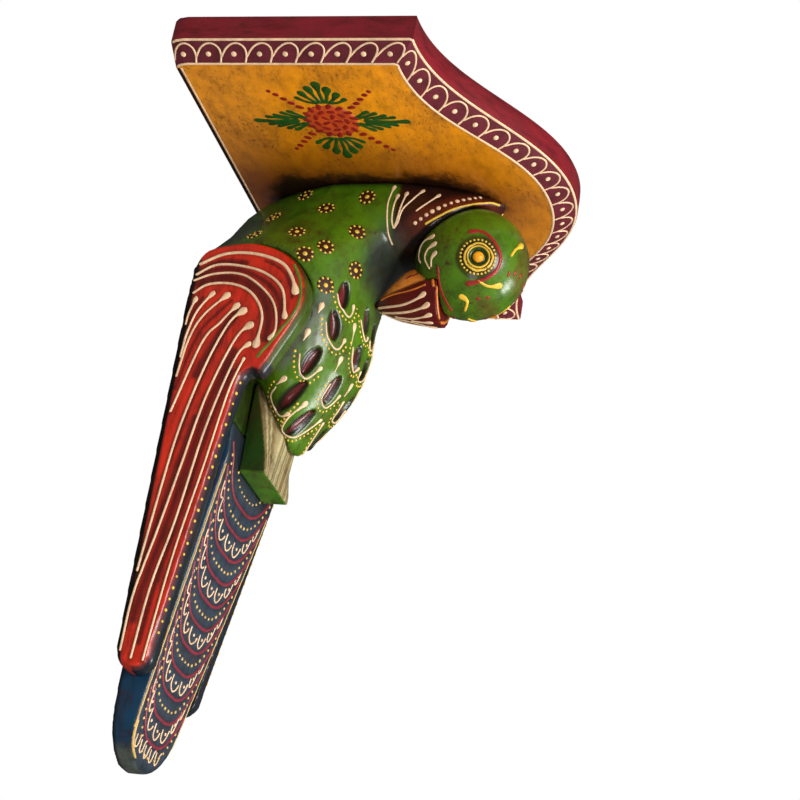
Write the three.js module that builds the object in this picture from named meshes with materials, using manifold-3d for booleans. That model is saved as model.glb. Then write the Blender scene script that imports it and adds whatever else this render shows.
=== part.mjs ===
// Carved and painted wooden parrot wall bracket, in millimetres, +Z up.
// The flat back lies on the wall plane y = 0 and the bird looks out along -Y.
// Points are given as (x, out, drop): across, outward from the wall, and down from the shelf's top.

import * as THREE from "three";
import { mergeVertices } from "three/addons/utils/BufferGeometryUtils.js";
import Module from "manifold-3d";

const wasm = await Module();
wasm.setup();

// ---------------------------------------------------------------- driving dimensions

const SHELF_TOP_Z = 90; // height of the shelf's top above the origin on the flat back
const GAP = 0.3; // air left between two pieces that meet

const SHELF_HALF_WIDTH = 125;
const SHELF_CORNER_OUT = 111; // depth of the shelf at its two side corners
const SHELF_NOSE_OUT = 160.7; // depth of the shelf at the middle of its wavy front
const SHELF_WAVE_HANDLE = 52; // how long the wave runs level at the corner and at the nose
const SHELF_EDGE = 12.4; // height of the upright edge
const SHELF_BEVEL = 5.7; // height of the bevel below the edge
const SHELF_BEVEL_INSET = 11;
const SHELF_DROP = SHELF_EDGE + SHELF_BEVEL; // the flat underside

const BODY_HALF_WIDTH = 34; // half the width between the wings
const BODY_END_DROP = 152; // where the body ends and the tail begins
const BODY_FRONT_DROP = 117; // the body's upright front starts to lean out below this drop
const BODY_FRONT_OUT = 26.5;
const BACKBOARD_DROP = 66; // top of the flat board that the round body grows from
const WING_FACE_X = 45; // outer face of a wing at its shoulder
const WING_TAPER_DROP = 105; // the outer face closes in below this drop
const WING_TAPER = 0.0624;
const WING_INNER_X = 20; // a wing's slab starts here, before the body's room is cut from it
const WING_EASE = 2; // inset of the eased outer edge
const WING_EASE_DEPTH = 3.5; // how far below the outer face the easing starts

const TAIL_TAPER = 0.0777;
const TAIL_ROOT_OUT = 30.5;
const TAIL_KNEE_DROP = 167;
const TAIL_KNEE_OUT = 31.2;
const TAIL_TIP_OUT = 8.9;
const TAIL_BEVEL = 1.2;
const TAIL_ROUND_DROP = 281; // the tip's round end begins
const TAIL_TIP_DROP = 305; // the whole height of the bracket

const HEAD_OUT = 116.5;
const HEAD_DROP = 50.6;
const HEAD_RADIUS = 27;
const HEAD_HALF_WIDTH = 24;
const COLLAR_OUT = 113;
const COLLAR_DROP = 31.7;
const COLLAR_TILT = 0.883; // angle of the neck joint's normal below straight out, in radians

const EYE_OUT = 125.4;
const EYE_DROP = 58.3;
const EYE_X = 21.2;
const EYE_RADIUS = 5.4;
const EYE_DEPTH = 5;

const HANGER_X = 17;
const HANGER_DROP = 92;
const HANGER_THICKNESS = 1.5;
const HANGER_HALF_WIDTH = 7.5;
const HANGER_HALF_HEIGHT = 20;
const KEYHOLE_RADIUS = 4.6;
const KEYHOLE_SLOT_RADIUS = 2.5;
const KEYHOLE_SLOT_RISE = 10;
const KEYHOLE_LOWER = 4; // the keyhole's round end sits this far below the plate's middle
const HANGER_CAVITY_DEPTH = 10; // room for a nail's head behind the keyhole
const HANGER_CAVITY_HALF_HEIGHT = 12.5;
const CUT_PAST = 1; // how far a cut runs past the wall plane
const HANGER_SCREW_RISE = 16.2; // from the plate's middle to each of its two screws

const SHELF_SCREW_OUTS = [34, 64, 96];
const PLUG_RADIUS = 4.8;
const PLUG_HEIGHT = 4;
const DOWEL_RADIUS = 3.5;
const WING_DOWEL_RADIUS = 3;

// ---------------------------------------------------------------- materials

function paint(color, roughness, metalness = 0) {
  return new THREE.MeshStandardMaterial({ color, roughness, metalness });
}

const OCHRE = paint(0xc98612, 0.35);
const GREEN = paint(0x3f7a14, 0.3);
const DARK_GREEN = paint(0x1f4d10, 0.35);
const RED = paint(0xa81c0c, 0.3);
const SLATE_BLUE = paint(0x33495f, 0.35);
const MAROON = paint(0x5c0e12, 0.3);
const ORANGE = paint(0xd98a2a, 0.35);
const YELLOW = paint(0xd9a62c, 0.3);
const RAW_WOOD = paint(0xb88a5a, 0.75);
const STEEL = paint(0x8a8c8e, 0.4, 1);

// ---------------------------------------------------------------- shape helpers

function at(x, out, drop) {
  return new THREE.Vector3(x, -out, SHELF_TOP_Z - drop);
}

function signedVolume(geometry) {
  const p = geometry.getAttribute("position");
  const index = geometry.getIndex().array;
  const [a, b, c] = [new THREE.Vector3(), new THREE.Vector3(), new THREE.Vector3()];
  let total = 0;
  for (let i = 0; i < index.length; i += 3) {
    a.fromBufferAttribute(p, index[i]);
    b.fromBufferAttribute(p, index[i + 1]);
    c.fromBufferAttribute(p, index[i + 2]);
    total += a.dot(b.cross(c)) / 6;
  }
  return total;
}

function facingOut(geometry) {
  if (signedVolume(geometry) < 0) {
    geometry.setIndex(Array.from(geometry.getIndex().array).reverse());
  }
  return geometry;
}

// Closed skin through rings of equally many points. The ends are closed by fans round their middles,
// or, where outlines are given, by cutting up those 2-D copies of the first and the last ring.
function skin(rings, outlines) {
  const count = rings[0].length;
  const points = rings.flat();
  const index = [];
  for (let r = 0; r + 1 < rings.length; r += 1) {
    for (let i = 0; i < count; i += 1) {
      const a = r * count + i;
      const b = r * count + ((i + 1) % count);
      index.push(a, b, a + count, b, b + count, a + count);
    }
  }
  const last = (rings.length - 1) * count;
  if (outlines) {
    THREE.ShapeUtils.triangulateShape(outlines[0], []).forEach(([a, b, c]) => index.push(c, b, a));
    THREE.ShapeUtils.triangulateShape(outlines[1], []).forEach(([a, b, c]) => (
      index.push(last + a, last + b, last + c)
    ));
  } else {
    points.push(middleOf(rings[0]), middleOf(rings.at(-1)));
    for (let i = 0; i < count; i += 1) {
      const j = (i + 1) % count;
      index.push(j, i, points.length - 2);
      index.push(last + i, last + j, points.length - 1);
    }
  }
  const geometry = new THREE.BufferGeometry();
  const numbers = points.flatMap((point) => point.toArray());
  geometry.setAttribute("position", new THREE.Float32BufferAttribute(numbers, 3));
  geometry.setIndex(index);
  return facingOut(geometry);
}

function middleOf(points) {
  const sum = points.reduce((total, point) => total.add(point), new THREE.Vector3());
  return sum.divideScalar(points.length);
}

function toManifold(geometry) {
  const bare = geometry.clone();
  bare.deleteAttribute("normal");
  bare.deleteAttribute("uv");
  const merged = facingOut(mergeVertices(bare, 1e-4));
  const mesh = new wasm.Mesh({
    numProp: 3,
    vertProperties: new Float32Array(merged.getAttribute("position").array),
    triVerts: new Uint32Array(merged.getIndex().array),
  });
  return new wasm.Manifold(mesh);
}

function toGeometry(solid) {
  const mesh = solid.getMesh();
  const geometry = new THREE.BufferGeometry();
  geometry.setAttribute("position", new THREE.BufferAttribute(mesh.vertProperties, mesh.numProp));
  geometry.setIndex(new THREE.BufferAttribute(mesh.triVerts, 1));
  return geometry;
}

function smooth(points, divisions) {
  return new THREE.SplineCurve(points.map(([u, v]) => new THREE.Vector2(u, v))).getPoints(divisions);
}

// Value at t on a smooth curve through [t, value] pairs, for tapering a loft.
function along(pairs, t) {
  let i = 0;
  while (i < pairs.length - 2 && t > pairs[i + 1][0]) {
    i += 1;
  }
  const [t0, v0] = pairs[i];
  const [t1, v1] = pairs[i + 1];
  const s = THREE.MathUtils.clamp((t - t0) / (t1 - t0), 0, 1);
  const before = pairs[Math.max(i - 1, 0)];
  const after = pairs[Math.min(i + 2, pairs.length - 1)];
  const m0 = ((v1 - before[1]) / (t1 - before[0])) * (t1 - t0);
  const m1 = ((after[1] - v0) / (after[0] - t0)) * (t1 - t0);
  const a = 2 * v0 - 2 * v1 + m0 + m1;
  const b = -3 * v0 + 3 * v1 - 2 * m0 - m1;
  return ((a * s + b) * s + m0) * s + v0;
}

function steps(from, to, count) {
  return Array.from({ length: count + 1 }, (_, i) => from + ((to - from) * i) / count);
}

function cylinder(radius, from, to, segments = 24) {
  const geometry = new THREE.CylinderGeometry(radius, radius, from.distanceTo(to), segments);
  const turn = new THREE.Quaternion().setFromUnitVectors(
    new THREE.Vector3(0, 1, 0),
    to.clone().sub(from).normalize(),
  );
  geometry.applyQuaternion(turn);
  geometry.translate(...from.clone().add(to).multiplyScalar(0.5).toArray());
  return geometry;
}

// A hole or pocket for a dowel: the dowel itself, grown by the gap on its side and both ends.
function dowelHole(radius, from, to) {
  const reach = to.clone().sub(from).setLength(GAP);
  return toManifold(cylinder(radius + GAP, from.clone().sub(reach), to.clone().add(reach)));
}

function box(low, high) {
  const size = high.clone().sub(low);
  const geometry = new THREE.BoxGeometry(...size.toArray());
  geometry.translate(...low.clone().add(high).multiplyScalar(0.5).toArray());
  return toManifold(geometry);
}

// ---------------------------------------------------------------- shelf board

// Half of the shelf's outline, from the wall round the side corner to the nose, pulled in by inset.
function shelfHalfOutline(inset) {
  const corner = new THREE.Vector2(SHELF_HALF_WIDTH - inset, SHELF_CORNER_OUT - inset * 0.8);
  const nose = new THREE.Vector2(0, SHELF_NOSE_OUT - inset);
  const wave = new THREE.CubicBezierCurve(
    corner,
    new THREE.Vector2(corner.x - SHELF_WAVE_HANDLE, corner.y),
    new THREE.Vector2(SHELF_WAVE_HANDLE, nose.y),
    nose,
  );
  return [new THREE.Vector2(corner.x, 0), ...wave.getPoints(24)];
}

function shelfRing(inset, drop) {
  const half = shelfHalfOutline(inset);
  const mirrored = half.slice(0, -1).reverse().map((p) => new THREE.Vector2(-p.x, p.y));
  return [...half, ...mirrored].map((p) => at(p.x, p.y, drop));
}

function makeShelf() {
  const rings = [
    [1.3, 0],
    [0.3, 1.3],
    [0, 4],
    [0, SHELF_EDGE - 1.5],
    [0.6, SHELF_EDGE],
    [SHELF_BEVEL_INSET, SHELF_DROP],
  ].map(([inset, drop]) => shelfRing(inset, drop));
  let board = toManifold(skin(rings));
  for (const out of SHELF_SCREW_OUTS) {
    const mouth = cylinder(PLUG_RADIUS + GAP, at(0, out, -1), at(0, out, PLUG_HEIGHT + GAP), 32);
    board = board.subtract(toManifold(mouth)).subtract(screwHole(out));
  }
  return toGeometry(board);
}

// ---------------------------------------------------------------- shelf screws and plugs

const SCREW_PROFILE = [
  [0, 0],
  [4.2, 0],
  [4.2, 0.6],
  [1.9, 3],
  [1.9, 30],
  [0, 37],
];

function screwSolid(out, grow) {
  const profile = SCREW_PROFILE.map(([radius, depth]) => {
    const side = radius > 0 ? radius + grow : 0;
    return new THREE.Vector2(side, -depth);
  });
  profile[0].y += grow;
  profile[1].y += grow;
  profile.at(-1).y -= grow;
  const geometry = new THREE.LatheGeometry(profile, 24);
  geometry.rotateX(Math.PI / 2);
  geometry.translate(...at(0, out, PLUG_HEIGHT + GAP).toArray());
  return toManifold(geometry);
}

function screwHole(out) {
  return screwSolid(out, GAP);
}

function makeShelfScrew(out) {
  const top = PLUG_HEIGHT + GAP;
  const slot = box(at(-5, out + 0.5, top + 1), at(5, out - 0.5, top - 1));
  return toGeometry(screwSolid(out, 0).subtract(slot));
}

function makePlug(out) {
  return cylinder(PLUG_RADIUS, at(0, out, PLUG_HEIGHT), at(0, out, 0), 32);
}

// ---------------------------------------------------------------- dowels

function collarNormal() {
  return at(0, Math.cos(COLLAR_TILT), Math.sin(COLLAR_TILT)).sub(at(0, 0, 0));
}

function neckDowelEnds() {
  const middle = at(0, COLLAR_OUT, COLLAR_DROP);
  return [-11, 13].map((reach) => middle.clone().addScaledVector(collarNormal(), reach));
}

function tailDowelEnds(side) {
  return [at(13 * side, 14, 136), at(13 * side, 14, 170)];
}

function perchDowelEnds() {
  return [at(0, 17, 160), at(0, 37.5, 160)];
}

const WING_DOWEL_INNER_X = 25;
const WING_DOWEL_OUTER_X = 39.5;

function wingDowelEnds(side, out, drop) {
  return [WING_DOWEL_INNER_X, WING_DOWEL_OUTER_X].map((x) => at(x * side, out, drop));
}

const WING_DOWELS = [
  [30, 86],
  [16, 138],
];

// ---------------------------------------------------------------- wings

function bodySideX(drop) {
  return BODY_HALF_WIDTH - Math.max(0, drop - BODY_END_DROP) * TAIL_TAPER;
}

// Outline of a wing as (out, drop). It runs a little behind the wall plane, where the wing is cut flat.
function wingOutline() {
  const shoulder = smooth([
    [-2, 82],
    [3, 72],
    [13, 68],
    [26, 66.4],
    [40, 70.2],
    [50.5, 78.5],
    [56.2, 90],
    [55.6, 102],
    [49, 117],
  ], 34);
  const notch = smooth([[49, 117], [41.8, 131.5], [37.2, 131.2], [33.6, 134.5], [31.6, 146]], 12);
  const tip = smooth([[17, 258], [15.8, 266.5], [10, 270.5], [3, 268.5], [-2, 262]], 10);
  return [...shoulder, ...notch.slice(1), ...tip];
}

// Each point moved inward along the mean normal of its two edges.
function insetOutline(outline, inset) {
  return outline.map((point, i) => {
    const before = outline.at(i - 1);
    const after = outline[(i + 1) % outline.length];
    const run = after.clone().sub(before).normalize();
    return new THREE.Vector2(point.x - run.y * inset, point.y + run.x * inset);
  });
}

// A wing-shaped slab with an eased edge; its outer face stands at faceX(drop).
function wingSlab(side, grow, faceX) {
  const outline = insetOutline(wingOutline(), -grow);
  const eased = insetOutline(wingOutline(), WING_EASE - grow);
  const inner = outline.map((p) => at(side * WING_INNER_X, p.x, p.y));
  const rim = outline.map((p) => at(side * (faceX(p.y) - WING_EASE_DEPTH), p.x, p.y));
  const face = eased.map((p) => at(side * (faceX(p.y) + grow), p.x, p.y));
  return toManifold(skin([inner, rim, face], [outline, eased]));
}

// The room that the body and the tail take between the two wings, past them on every side.
function betweenWings(clearance) {
  const [top, low, back, front] = [40, 310, -10, 80];
  const rings = [top, BODY_END_DROP, low].map((drop) => {
    const half = bodySideX(drop) + clearance;
    return [[half, back], [half, front], [-half, front], [-half, back]].map(([x, out]) => at(x, out, drop));
  });
  return toManifold(skin(rings));
}

function wingSolid(side, grow) {
  const level = wingSlab(side, grow, () => WING_FACE_X);
  const tapered = wingSlab(side, grow, (drop) => WING_FACE_X - (drop - WING_TAPER_DROP) * WING_TAPER);
  return level.intersect(tapered).subtract(betweenWings(GAP - grow));
}

function makeWing(side) {
  const behindWall = box(at(-60, -10, 300), at(60, 0, 40));
  let wing = wingSolid(side, 0).subtract(behindWall);
  for (const [out, drop] of WING_DOWELS) {
    wing = wing.subtract(dowelHole(WING_DOWEL_RADIUS, ...wingDowelEnds(side, out, drop)));
  }
  return toGeometry(wing);
}

// ---------------------------------------------------------------- tail

function tailFrontOut(drop) {
  if (drop < TAIL_KNEE_DROP) {
    const run = (drop - BODY_END_DROP) / (TAIL_KNEE_DROP - BODY_END_DROP);
    return TAIL_ROOT_OUT + (TAIL_KNEE_OUT - TAIL_ROOT_OUT) * run;
  }
  const run = (drop - TAIL_KNEE_DROP) / (TAIL_TIP_DROP - TAIL_KNEE_DROP);
  return TAIL_KNEE_OUT + (TAIL_TIP_OUT - TAIL_KNEE_OUT) * run;
}

function tailHalfWidth(drop) {
  const past = Math.max(0, drop - TAIL_ROUND_DROP) / (TAIL_TIP_DROP - TAIL_ROUND_DROP);
  return bodySideX(drop) * Math.sqrt(Math.max(0.03, 1 - past ** 2.4));
}

function tailRing(drop) {
  const half = tailHalfWidth(drop);
  const front = tailFrontOut(drop);
  return [
    [half, 0],
    [half, front - TAIL_BEVEL],
    [half - TAIL_BEVEL, front],
    [TAIL_BEVEL - half, front],
    [-half, front - TAIL_BEVEL],
    [-half, 0],
  ].map(([x, out]) => at(x, out, drop));
}

function makeTail() {
  const drops = [
    BODY_END_DROP + GAP,
    TAIL_KNEE_DROP,
    ...steps(200, TAIL_ROUND_DROP, 3),
    ...[0.25, 0.45, 0.62, 0.76, 0.87, 0.95, 1].map((s) => (
      TAIL_ROUND_DROP + s * (TAIL_TIP_DROP - TAIL_ROUND_DROP)
    )),
  ];
  let tail = toManifold(skin(drops.map(tailRing)));
  for (const side of [-1, 1]) {
    tail = tail.subtract(dowelHole(DOWEL_RADIUS, ...tailDowelEnds(side)));
  }
  tail = tail.subtract(dowelHole(DOWEL_RADIUS, ...perchDowelEnds()));
  return toGeometry(tail);
}

// ---------------------------------------------------------------- perch block

const PERCH_HALF_WIDTH = 18.6;
const PERCH_TOP_DROP = 119;
const PERCH_END_DROP = 169.6;
// Both lines as [drop, out]: the block's front at its side edges and along its middle.
const PERCH_EDGE_LINE = [
  [116, 29],
  [126, 31.6],
  [138, 35.4],
  [149, 38.9],
  [157, 41.3],
  [164, 43.2],
  [170, 43.6],
];
const PERCH_MIDDLE_LINE = [
  [116, 34],
  [138, 45.5],
  [149, 46],
  [160, 44.6],
  [170, 43.6],
];
const PERCH_FLAT = 0.45; // share of the half-width that the middle line's flat takes

function bodyFrontOut(drop) {
  const run = (drop - BODY_FRONT_DROP) / (BODY_END_DROP - BODY_FRONT_DROP);
  return BODY_FRONT_OUT + (TAIL_ROOT_OUT - BODY_FRONT_OUT) * run;
}

// The block wedges out from the tail's root; the body's belly rests on its slanted front.
function perchSolid(grow) {
  const drops = [...steps(PERCH_TOP_DROP, BODY_END_DROP, 6), ...steps(157, PERCH_END_DROP, 3)];
  drops[0] -= grow;
  drops[drops.length - 1] += grow;
  const rings = drops.map((drop) => {
    const bodyFront = bodyFrontOut(Math.min(drop, BODY_END_DROP));
    const tailFront = tailFrontOut(Math.max(drop, BODY_END_DROP));
    const back = Math.max(bodyFront, tailFront);
    const edge = along(PERCH_EDGE_LINE, drop) + grow;
    const middle = along(PERCH_MIDDLE_LINE, drop) + grow;
    const half = PERCH_HALF_WIDTH + grow;
    return [
      [half, back + GAP - grow],
      [half, edge],
      [half * PERCH_FLAT, middle],
      [-half * PERCH_FLAT, middle],
      [-half, edge],
      [-half, back + GAP - grow],
    ].map(([x, out]) => at(x, out, drop));
  });
  return toManifold(skin(rings));
}

function makePerch() {
  return toGeometry(perchSolid(0).subtract(dowelHole(DOWEL_RADIUS, ...perchDowelEnds())));
}

// ---------------------------------------------------------------- body

// Each line: drop, back edge out, half-width at the back, widest half-width, its out, front out.
const BODY_STATIONS = [
  [18.1 + GAP, 16, 2, 18.5, 60, 90],
  [24, 9, 3, 19.5, 58, 90],
  [31, 3, 4, 21.5, 53, 89],
  [38, 0, 6, 24.5, 49, 88],
  [47, 0, 13, 30, 43, 85],
  [56, 0, 22, 36, 39, 80],
  [66, 0, 33, 41.5, 36, 75.4],
  [80, 0, 43, 42.5, 34, 73.6],
  [95, 0, 43, 40, 35, 74],
  [107, 4, 36, 36.5, 37, 72.6],
  [117, 18, 28, 32.5, 41, 69.4],
  [127, 32, 17, 27, 44.5, 64.4],
  [136, 36, 12, 21, 46.5, 58.4],
  [144, 39, 8, 14.5, 47.5, 53.4],
  [149.5, 42, 4, 8, 47.5, 50.4],
  [151.8, 44.5, 1, 2, 46.5, 48],
];

function bodyRing([drop, backOut, backHalf, half, wideOut, frontOut]) {
  const right = [new THREE.Vector2(backHalf * 0.5, backOut)];
  for (const t of steps(0, 1, 5)) {
    const angle = (t * Math.PI) / 2;
    const x = backHalf + (half - backHalf) * Math.sin(angle);
    right.push(new THREE.Vector2(x, wideOut - (wideOut - backOut) * (1 - t)));
  }
  for (const t of steps(0, 1, 9).slice(1, -1)) {
    const angle = (t * Math.PI) / 2;
    const out = wideOut + (frontOut - wideOut) * Math.sin(angle);
    right.push(new THREE.Vector2(half * Math.cos(angle) ** 0.9, out));
  }
  const left = right.slice().reverse().map((p) => new THREE.Vector2(-p.x, p.y));
  return [...right, new THREE.Vector2(0, frontOut), ...left].map((p) => at(p.x, p.y, drop));
}

// Each line: out, half-width on the shelf, widest half-width, its drop, lowest drop.
const NECK_STATIONS = [
  [46, 17, 20, 34, 58],
  [62, 18.5, 21.5, 34, 59],
  [76, 19, 22.2, 34, 55],
  [88, 18.5, 22.2, 34, 51],
  [98, 16.5, 21.8, 34, 50],
  [108, 13.5, 20.6, 33, 50],
  [117, 10, 17.5, 32, 50],
  [124, 6, 12.5, 31, 48],
  [128.5, 2, 6, 30, 44],
];

function neckRing([out, shelfHalf, half, wideDrop, lowDrop]) {
  const top = SHELF_DROP + GAP;
  const right = [];
  for (const t of steps(0, 1, 4)) {
    const x = shelfHalf + (half - shelfHalf) * Math.sin((t * Math.PI) / 2);
    right.push(new THREE.Vector2(x, top + (wideDrop - top) * t));
  }
  for (const t of steps(0, 1, 6).slice(1, -1)) {
    const angle = (t * Math.PI) / 2;
    right.push(new THREE.Vector2(half * Math.cos(angle), wideDrop + (lowDrop - wideDrop) * Math.sin(angle)));
  }
  const left = right.slice().reverse().map((p) => new THREE.Vector2(-p.x, p.y));
  return [...right, new THREE.Vector2(0, lowDrop), ...left].map((p) => at(p.x, out, p.y));
}

// The half space on the head's side of the neck joint, as a large block.
function beyondCollar(offset) {
  const geometry = new THREE.BoxGeometry(120, 120, 120);
  const turn = new THREE.Quaternion().setFromUnitVectors(new THREE.Vector3(0, 0, 1), collarNormal());
  geometry.applyQuaternion(turn);
  const centre = at(0, COLLAR_OUT, COLLAR_DROP).addScaledVector(collarNormal(), 60 + offset);
  geometry.translate(...centre.toArray());
  return toManifold(geometry);
}

function makeBody() {
  const half = BODY_HALF_WIDTH;
  const backboard = [BACKBOARD_DROP, BODY_END_DROP].map((drop) => {
    const front = bodyFrontOut(Math.max(drop, BODY_FRONT_DROP));
    return [[half, 0], [half, front], [-half, front], [-half, 0]].map(([x, out]) => at(x, out, drop));
  });
  const neck = toManifold(skin(NECK_STATIONS.map(neckRing)));
  let body = toManifold(skin(BODY_STATIONS.map(bodyRing))).add(toManifold(skin(backboard)));
  body = body.add(neck.subtract(beyondCollar(0)));
  body = body.subtract(perchSolid(GAP)).subtract(beakSolid(UPPER_BEAK_STATIONS, GAP));
  for (const side of [-1, 1]) {
    const outside = box(at(side * BODY_HALF_WIDTH, -5, 160), at(side * 70, 60, 110));
    body = body.subtract(wingSolid(side, GAP)).subtract(outside);
    body = body.subtract(dowelHole(DOWEL_RADIUS, ...tailDowelEnds(side)));
    for (const [out, drop] of WING_DOWELS) {
      body = body.subtract(dowelHole(WING_DOWEL_RADIUS, ...wingDowelEnds(side, out, drop)));
    }
    body = body.subtract(hangerPocket(side));
  }
  for (const out of SHELF_SCREW_OUTS) {
    body = body.subtract(screwHole(out));
  }
  body = body.subtract(dowelHole(DOWEL_RADIUS, ...neckDowelEnds()));
  return toGeometry(body);
}

// ---------------------------------------------------------------- head, beak and eyes

// Each line: out, drop at the line between the beaks, drop at the ridge, half-width.
const UPPER_BEAK_STATIONS = [
  [73.2, 73.2, 74.6, 0.8],
  [76, 72.2, 76.9, 3],
  [80, 71.2, 78.6, 5.4],
  [87, 69.4, 80.6, 8.8],
  [94, 67.6, 81.6, 11.8],
  [100, 66.2, 82.2, 14],
  [106, 66.6, 82, 15.6],
];
const LOWER_BEAK_STATIONS = [
  [75.6, 71.9, 71, 1],
  [80, 70.8, 67.2, 4.6],
  [87, 69, 62.2, 8],
  [94, 67.2, 59.2, 10.6],
  [101, 65.6, 58.2, 12.4],
];

// One ring across a beak: nearly flat along the line between the beaks, round towards the ridge.
function beakRing([out, lineDrop, ridgeDrop, half], grow) {
  const rise = ridgeDrop - lineDrop;
  const reach = Math.sign(rise) * grow;
  return steps(0, 2 * Math.PI, 20).slice(0, -1).map((angle) => {
    const across = Math.sign(Math.cos(angle)) * Math.abs(Math.cos(angle)) ** 0.75 * (half + grow);
    const towardsRidge = Math.sin(angle);
    const drop = towardsRidge > 1e-6
      ? lineDrop + reach + rise * towardsRidge
      : lineDrop - reach + rise * 0.06 * (1 + towardsRidge);
    return at(across, out, drop);
  });
}

function beakSolid(stations, grow) {
  const tip = stations[0];
  const root = stations.at(-1);
  const grown = [
    [tip[0] - grow, tip[1], tip[2], tip[3]],
    ...stations.slice(1, -1),
    [root[0] + grow, root[1], root[2], root[3]],
  ];
  return toManifold(skin(grown.map((station) => beakRing(station, grow))));
}

function eyeEnds(side) {
  const face = at(side * EYE_X, EYE_OUT, EYE_DROP);
  const centre = at(side * 4, HEAD_OUT + 2, HEAD_DROP + 2);
  const inward = centre.sub(face).normalize();
  return [face.clone().addScaledVector(inward, EYE_DEPTH), face.clone().addScaledVector(inward, -0.6)];
}

function makeHead() {
  const ball = new THREE.SphereGeometry(HEAD_RADIUS, 40, 28);
  ball.rotateZ(Math.PI / 2);
  ball.scale(HEAD_HALF_WIDTH / HEAD_RADIUS, 1, 1);
  ball.translate(...at(0, HEAD_OUT, HEAD_DROP).toArray());
  let head = toManifold(ball).intersect(beyondCollar(GAP));
  head = head.subtract(beakSolid(UPPER_BEAK_STATIONS, GAP)).subtract(beakSolid(LOWER_BEAK_STATIONS, GAP));
  for (const side of [-1, 1]) {
    const [inner, outer] = eyeEnds(side);
    const mouth = outer.clone().addScaledVector(outer.clone().sub(inner).normalize(), 8);
    head = head.subtract(dowelHole(EYE_RADIUS, inner, mouth));
  }
  head = head.subtract(dowelHole(DOWEL_RADIUS, ...neckDowelEnds()));
  return toGeometry(head);
}

// A turned button: a flat rim, a sunk ring and a round bead standing in the middle.
function makeEye(side) {
  const [inner, outer] = eyeEnds(side);
  const length = inner.distanceTo(outer);
  const profile = [
    [0, 0],
    [EYE_RADIUS, 0],
    [EYE_RADIUS, length],
    [EYE_RADIUS - 1.1, length],
    [EYE_RADIUS - 1.5, length - 1.4],
    [2.3, length - 1.4],
    [2, length - 0.5],
    [1.1, length + 0.3],
    [0, length + 0.6],
  ].map(([radius, height]) => new THREE.Vector2(radius, height));
  const geometry = new THREE.LatheGeometry(profile, 28);
  const axis = outer.clone().sub(inner).normalize();
  geometry.applyQuaternion(new THREE.Quaternion().setFromUnitVectors(new THREE.Vector3(0, 1, 0), axis));
  geometry.translate(...inner.toArray());
  return toGeometry(toManifold(geometry));
}

// ---------------------------------------------------------------- keyhole hangers

function stadium(halfWidth, halfHeight) {
  const shape = new THREE.Shape();
  const straight = halfHeight - halfWidth;
  shape.moveTo(halfWidth, -straight);
  shape.absarc(0, straight, halfWidth, 0, Math.PI, false);
  shape.absarc(0, -straight, halfWidth, Math.PI, 2 * Math.PI, false);
  return shape;
}

// An upright plate shape, drawn across x and height, made thick outward from the wall.
function standingPlate(shape, side, thickness, inset) {
  const options = { depth: thickness, bevelEnabled: false, curveSegments: 16 };
  const geometry = new THREE.ExtrudeGeometry(shape, options);
  geometry.rotateX(Math.PI / 2);
  geometry.translate(...at(side * HANGER_X, inset, HANGER_DROP).toArray());
  return toManifold(geometry);
}

function keyholeShape() {
  const shape = new THREE.Shape();
  const join = Math.asin(KEYHOLE_SLOT_RADIUS / KEYHOLE_RADIUS);
  const slotEnd = KEYHOLE_SLOT_RISE - KEYHOLE_LOWER;
  shape.absarc(0, -KEYHOLE_LOWER, KEYHOLE_RADIUS, Math.PI / 2 + join, 2.5 * Math.PI - join, false);
  shape.absarc(0, slotEnd, KEYHOLE_SLOT_RADIUS, 0, Math.PI, false);
  return shape;
}

function hangerScrewSpots(side) {
  return [-1, 1].map((end) => ({ x: side * HANGER_X, drop: HANGER_DROP + end * HANGER_SCREW_RISE }));
}

const HANGER_SCREW_PROFILE = [
  [0, 0.1],
  [2.7, 0.1],
  [2.7, 0.3],
  [1.2, 1.7],
  [1.2, 9],
  [0, 12],
];

function hangerScrewSolid({ x, drop }, grow) {
  const profile = HANGER_SCREW_PROFILE.map(([radius, depth]) => (
    new THREE.Vector2(radius > 0 ? radius + grow : 0, depth)
  ));
  profile[0].y -= 2 * grow;
  profile[1].y -= 2 * grow;
  profile.at(-1).y += grow;
  const geometry = new THREE.LatheGeometry(profile, 20);
  geometry.rotateX(Math.PI);
  geometry.translate(...at(x, 0, drop).toArray());
  return toManifold(geometry);
}

function makeHanger(side) {
  let plate = standingPlate(stadium(HANGER_HALF_WIDTH, HANGER_HALF_HEIGHT), side, HANGER_THICKNESS, 0);
  plate = plate.subtract(standingPlate(keyholeShape(), side, HANGER_THICKNESS + 2 * CUT_PAST, -CUT_PAST));
  for (const spot of hangerScrewSpots(side)) {
    plate = plate.subtract(hangerScrewSolid(spot, GAP));
  }
  return toGeometry(plate);
}

function hangerPocket(side) {
  const seat = stadium(HANGER_HALF_WIDTH + GAP, HANGER_HALF_HEIGHT + GAP);
  const cavity = stadium(KEYHOLE_RADIUS + 1, HANGER_CAVITY_HALF_HEIGHT);
  let pocket = standingPlate(seat, side, HANGER_THICKNESS + GAP + CUT_PAST, -CUT_PAST);
  pocket = pocket.add(standingPlate(cavity, side, HANGER_CAVITY_DEPTH + CUT_PAST, -CUT_PAST));
  for (const spot of hangerScrewSpots(side)) {
    pocket = pocket.add(hangerScrewSolid(spot, GAP));
  }
  return pocket;
}

function makeHangerScrew(spot) {
  const slot = box(at(spot.x - 4, 0.7, spot.drop + 0.35), at(spot.x + 4, -1, spot.drop - 0.35));
  return toGeometry(hangerScrewSolid(spot, 0).subtract(slot));
}

// ---------------------------------------------------------------- assembly

const group = new THREE.Group();

function addPart(name, geometry, material) {
  const mesh = new THREE.Mesh(geometry, material);
  mesh.name = name;
  group.add(mesh);
}

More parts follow.
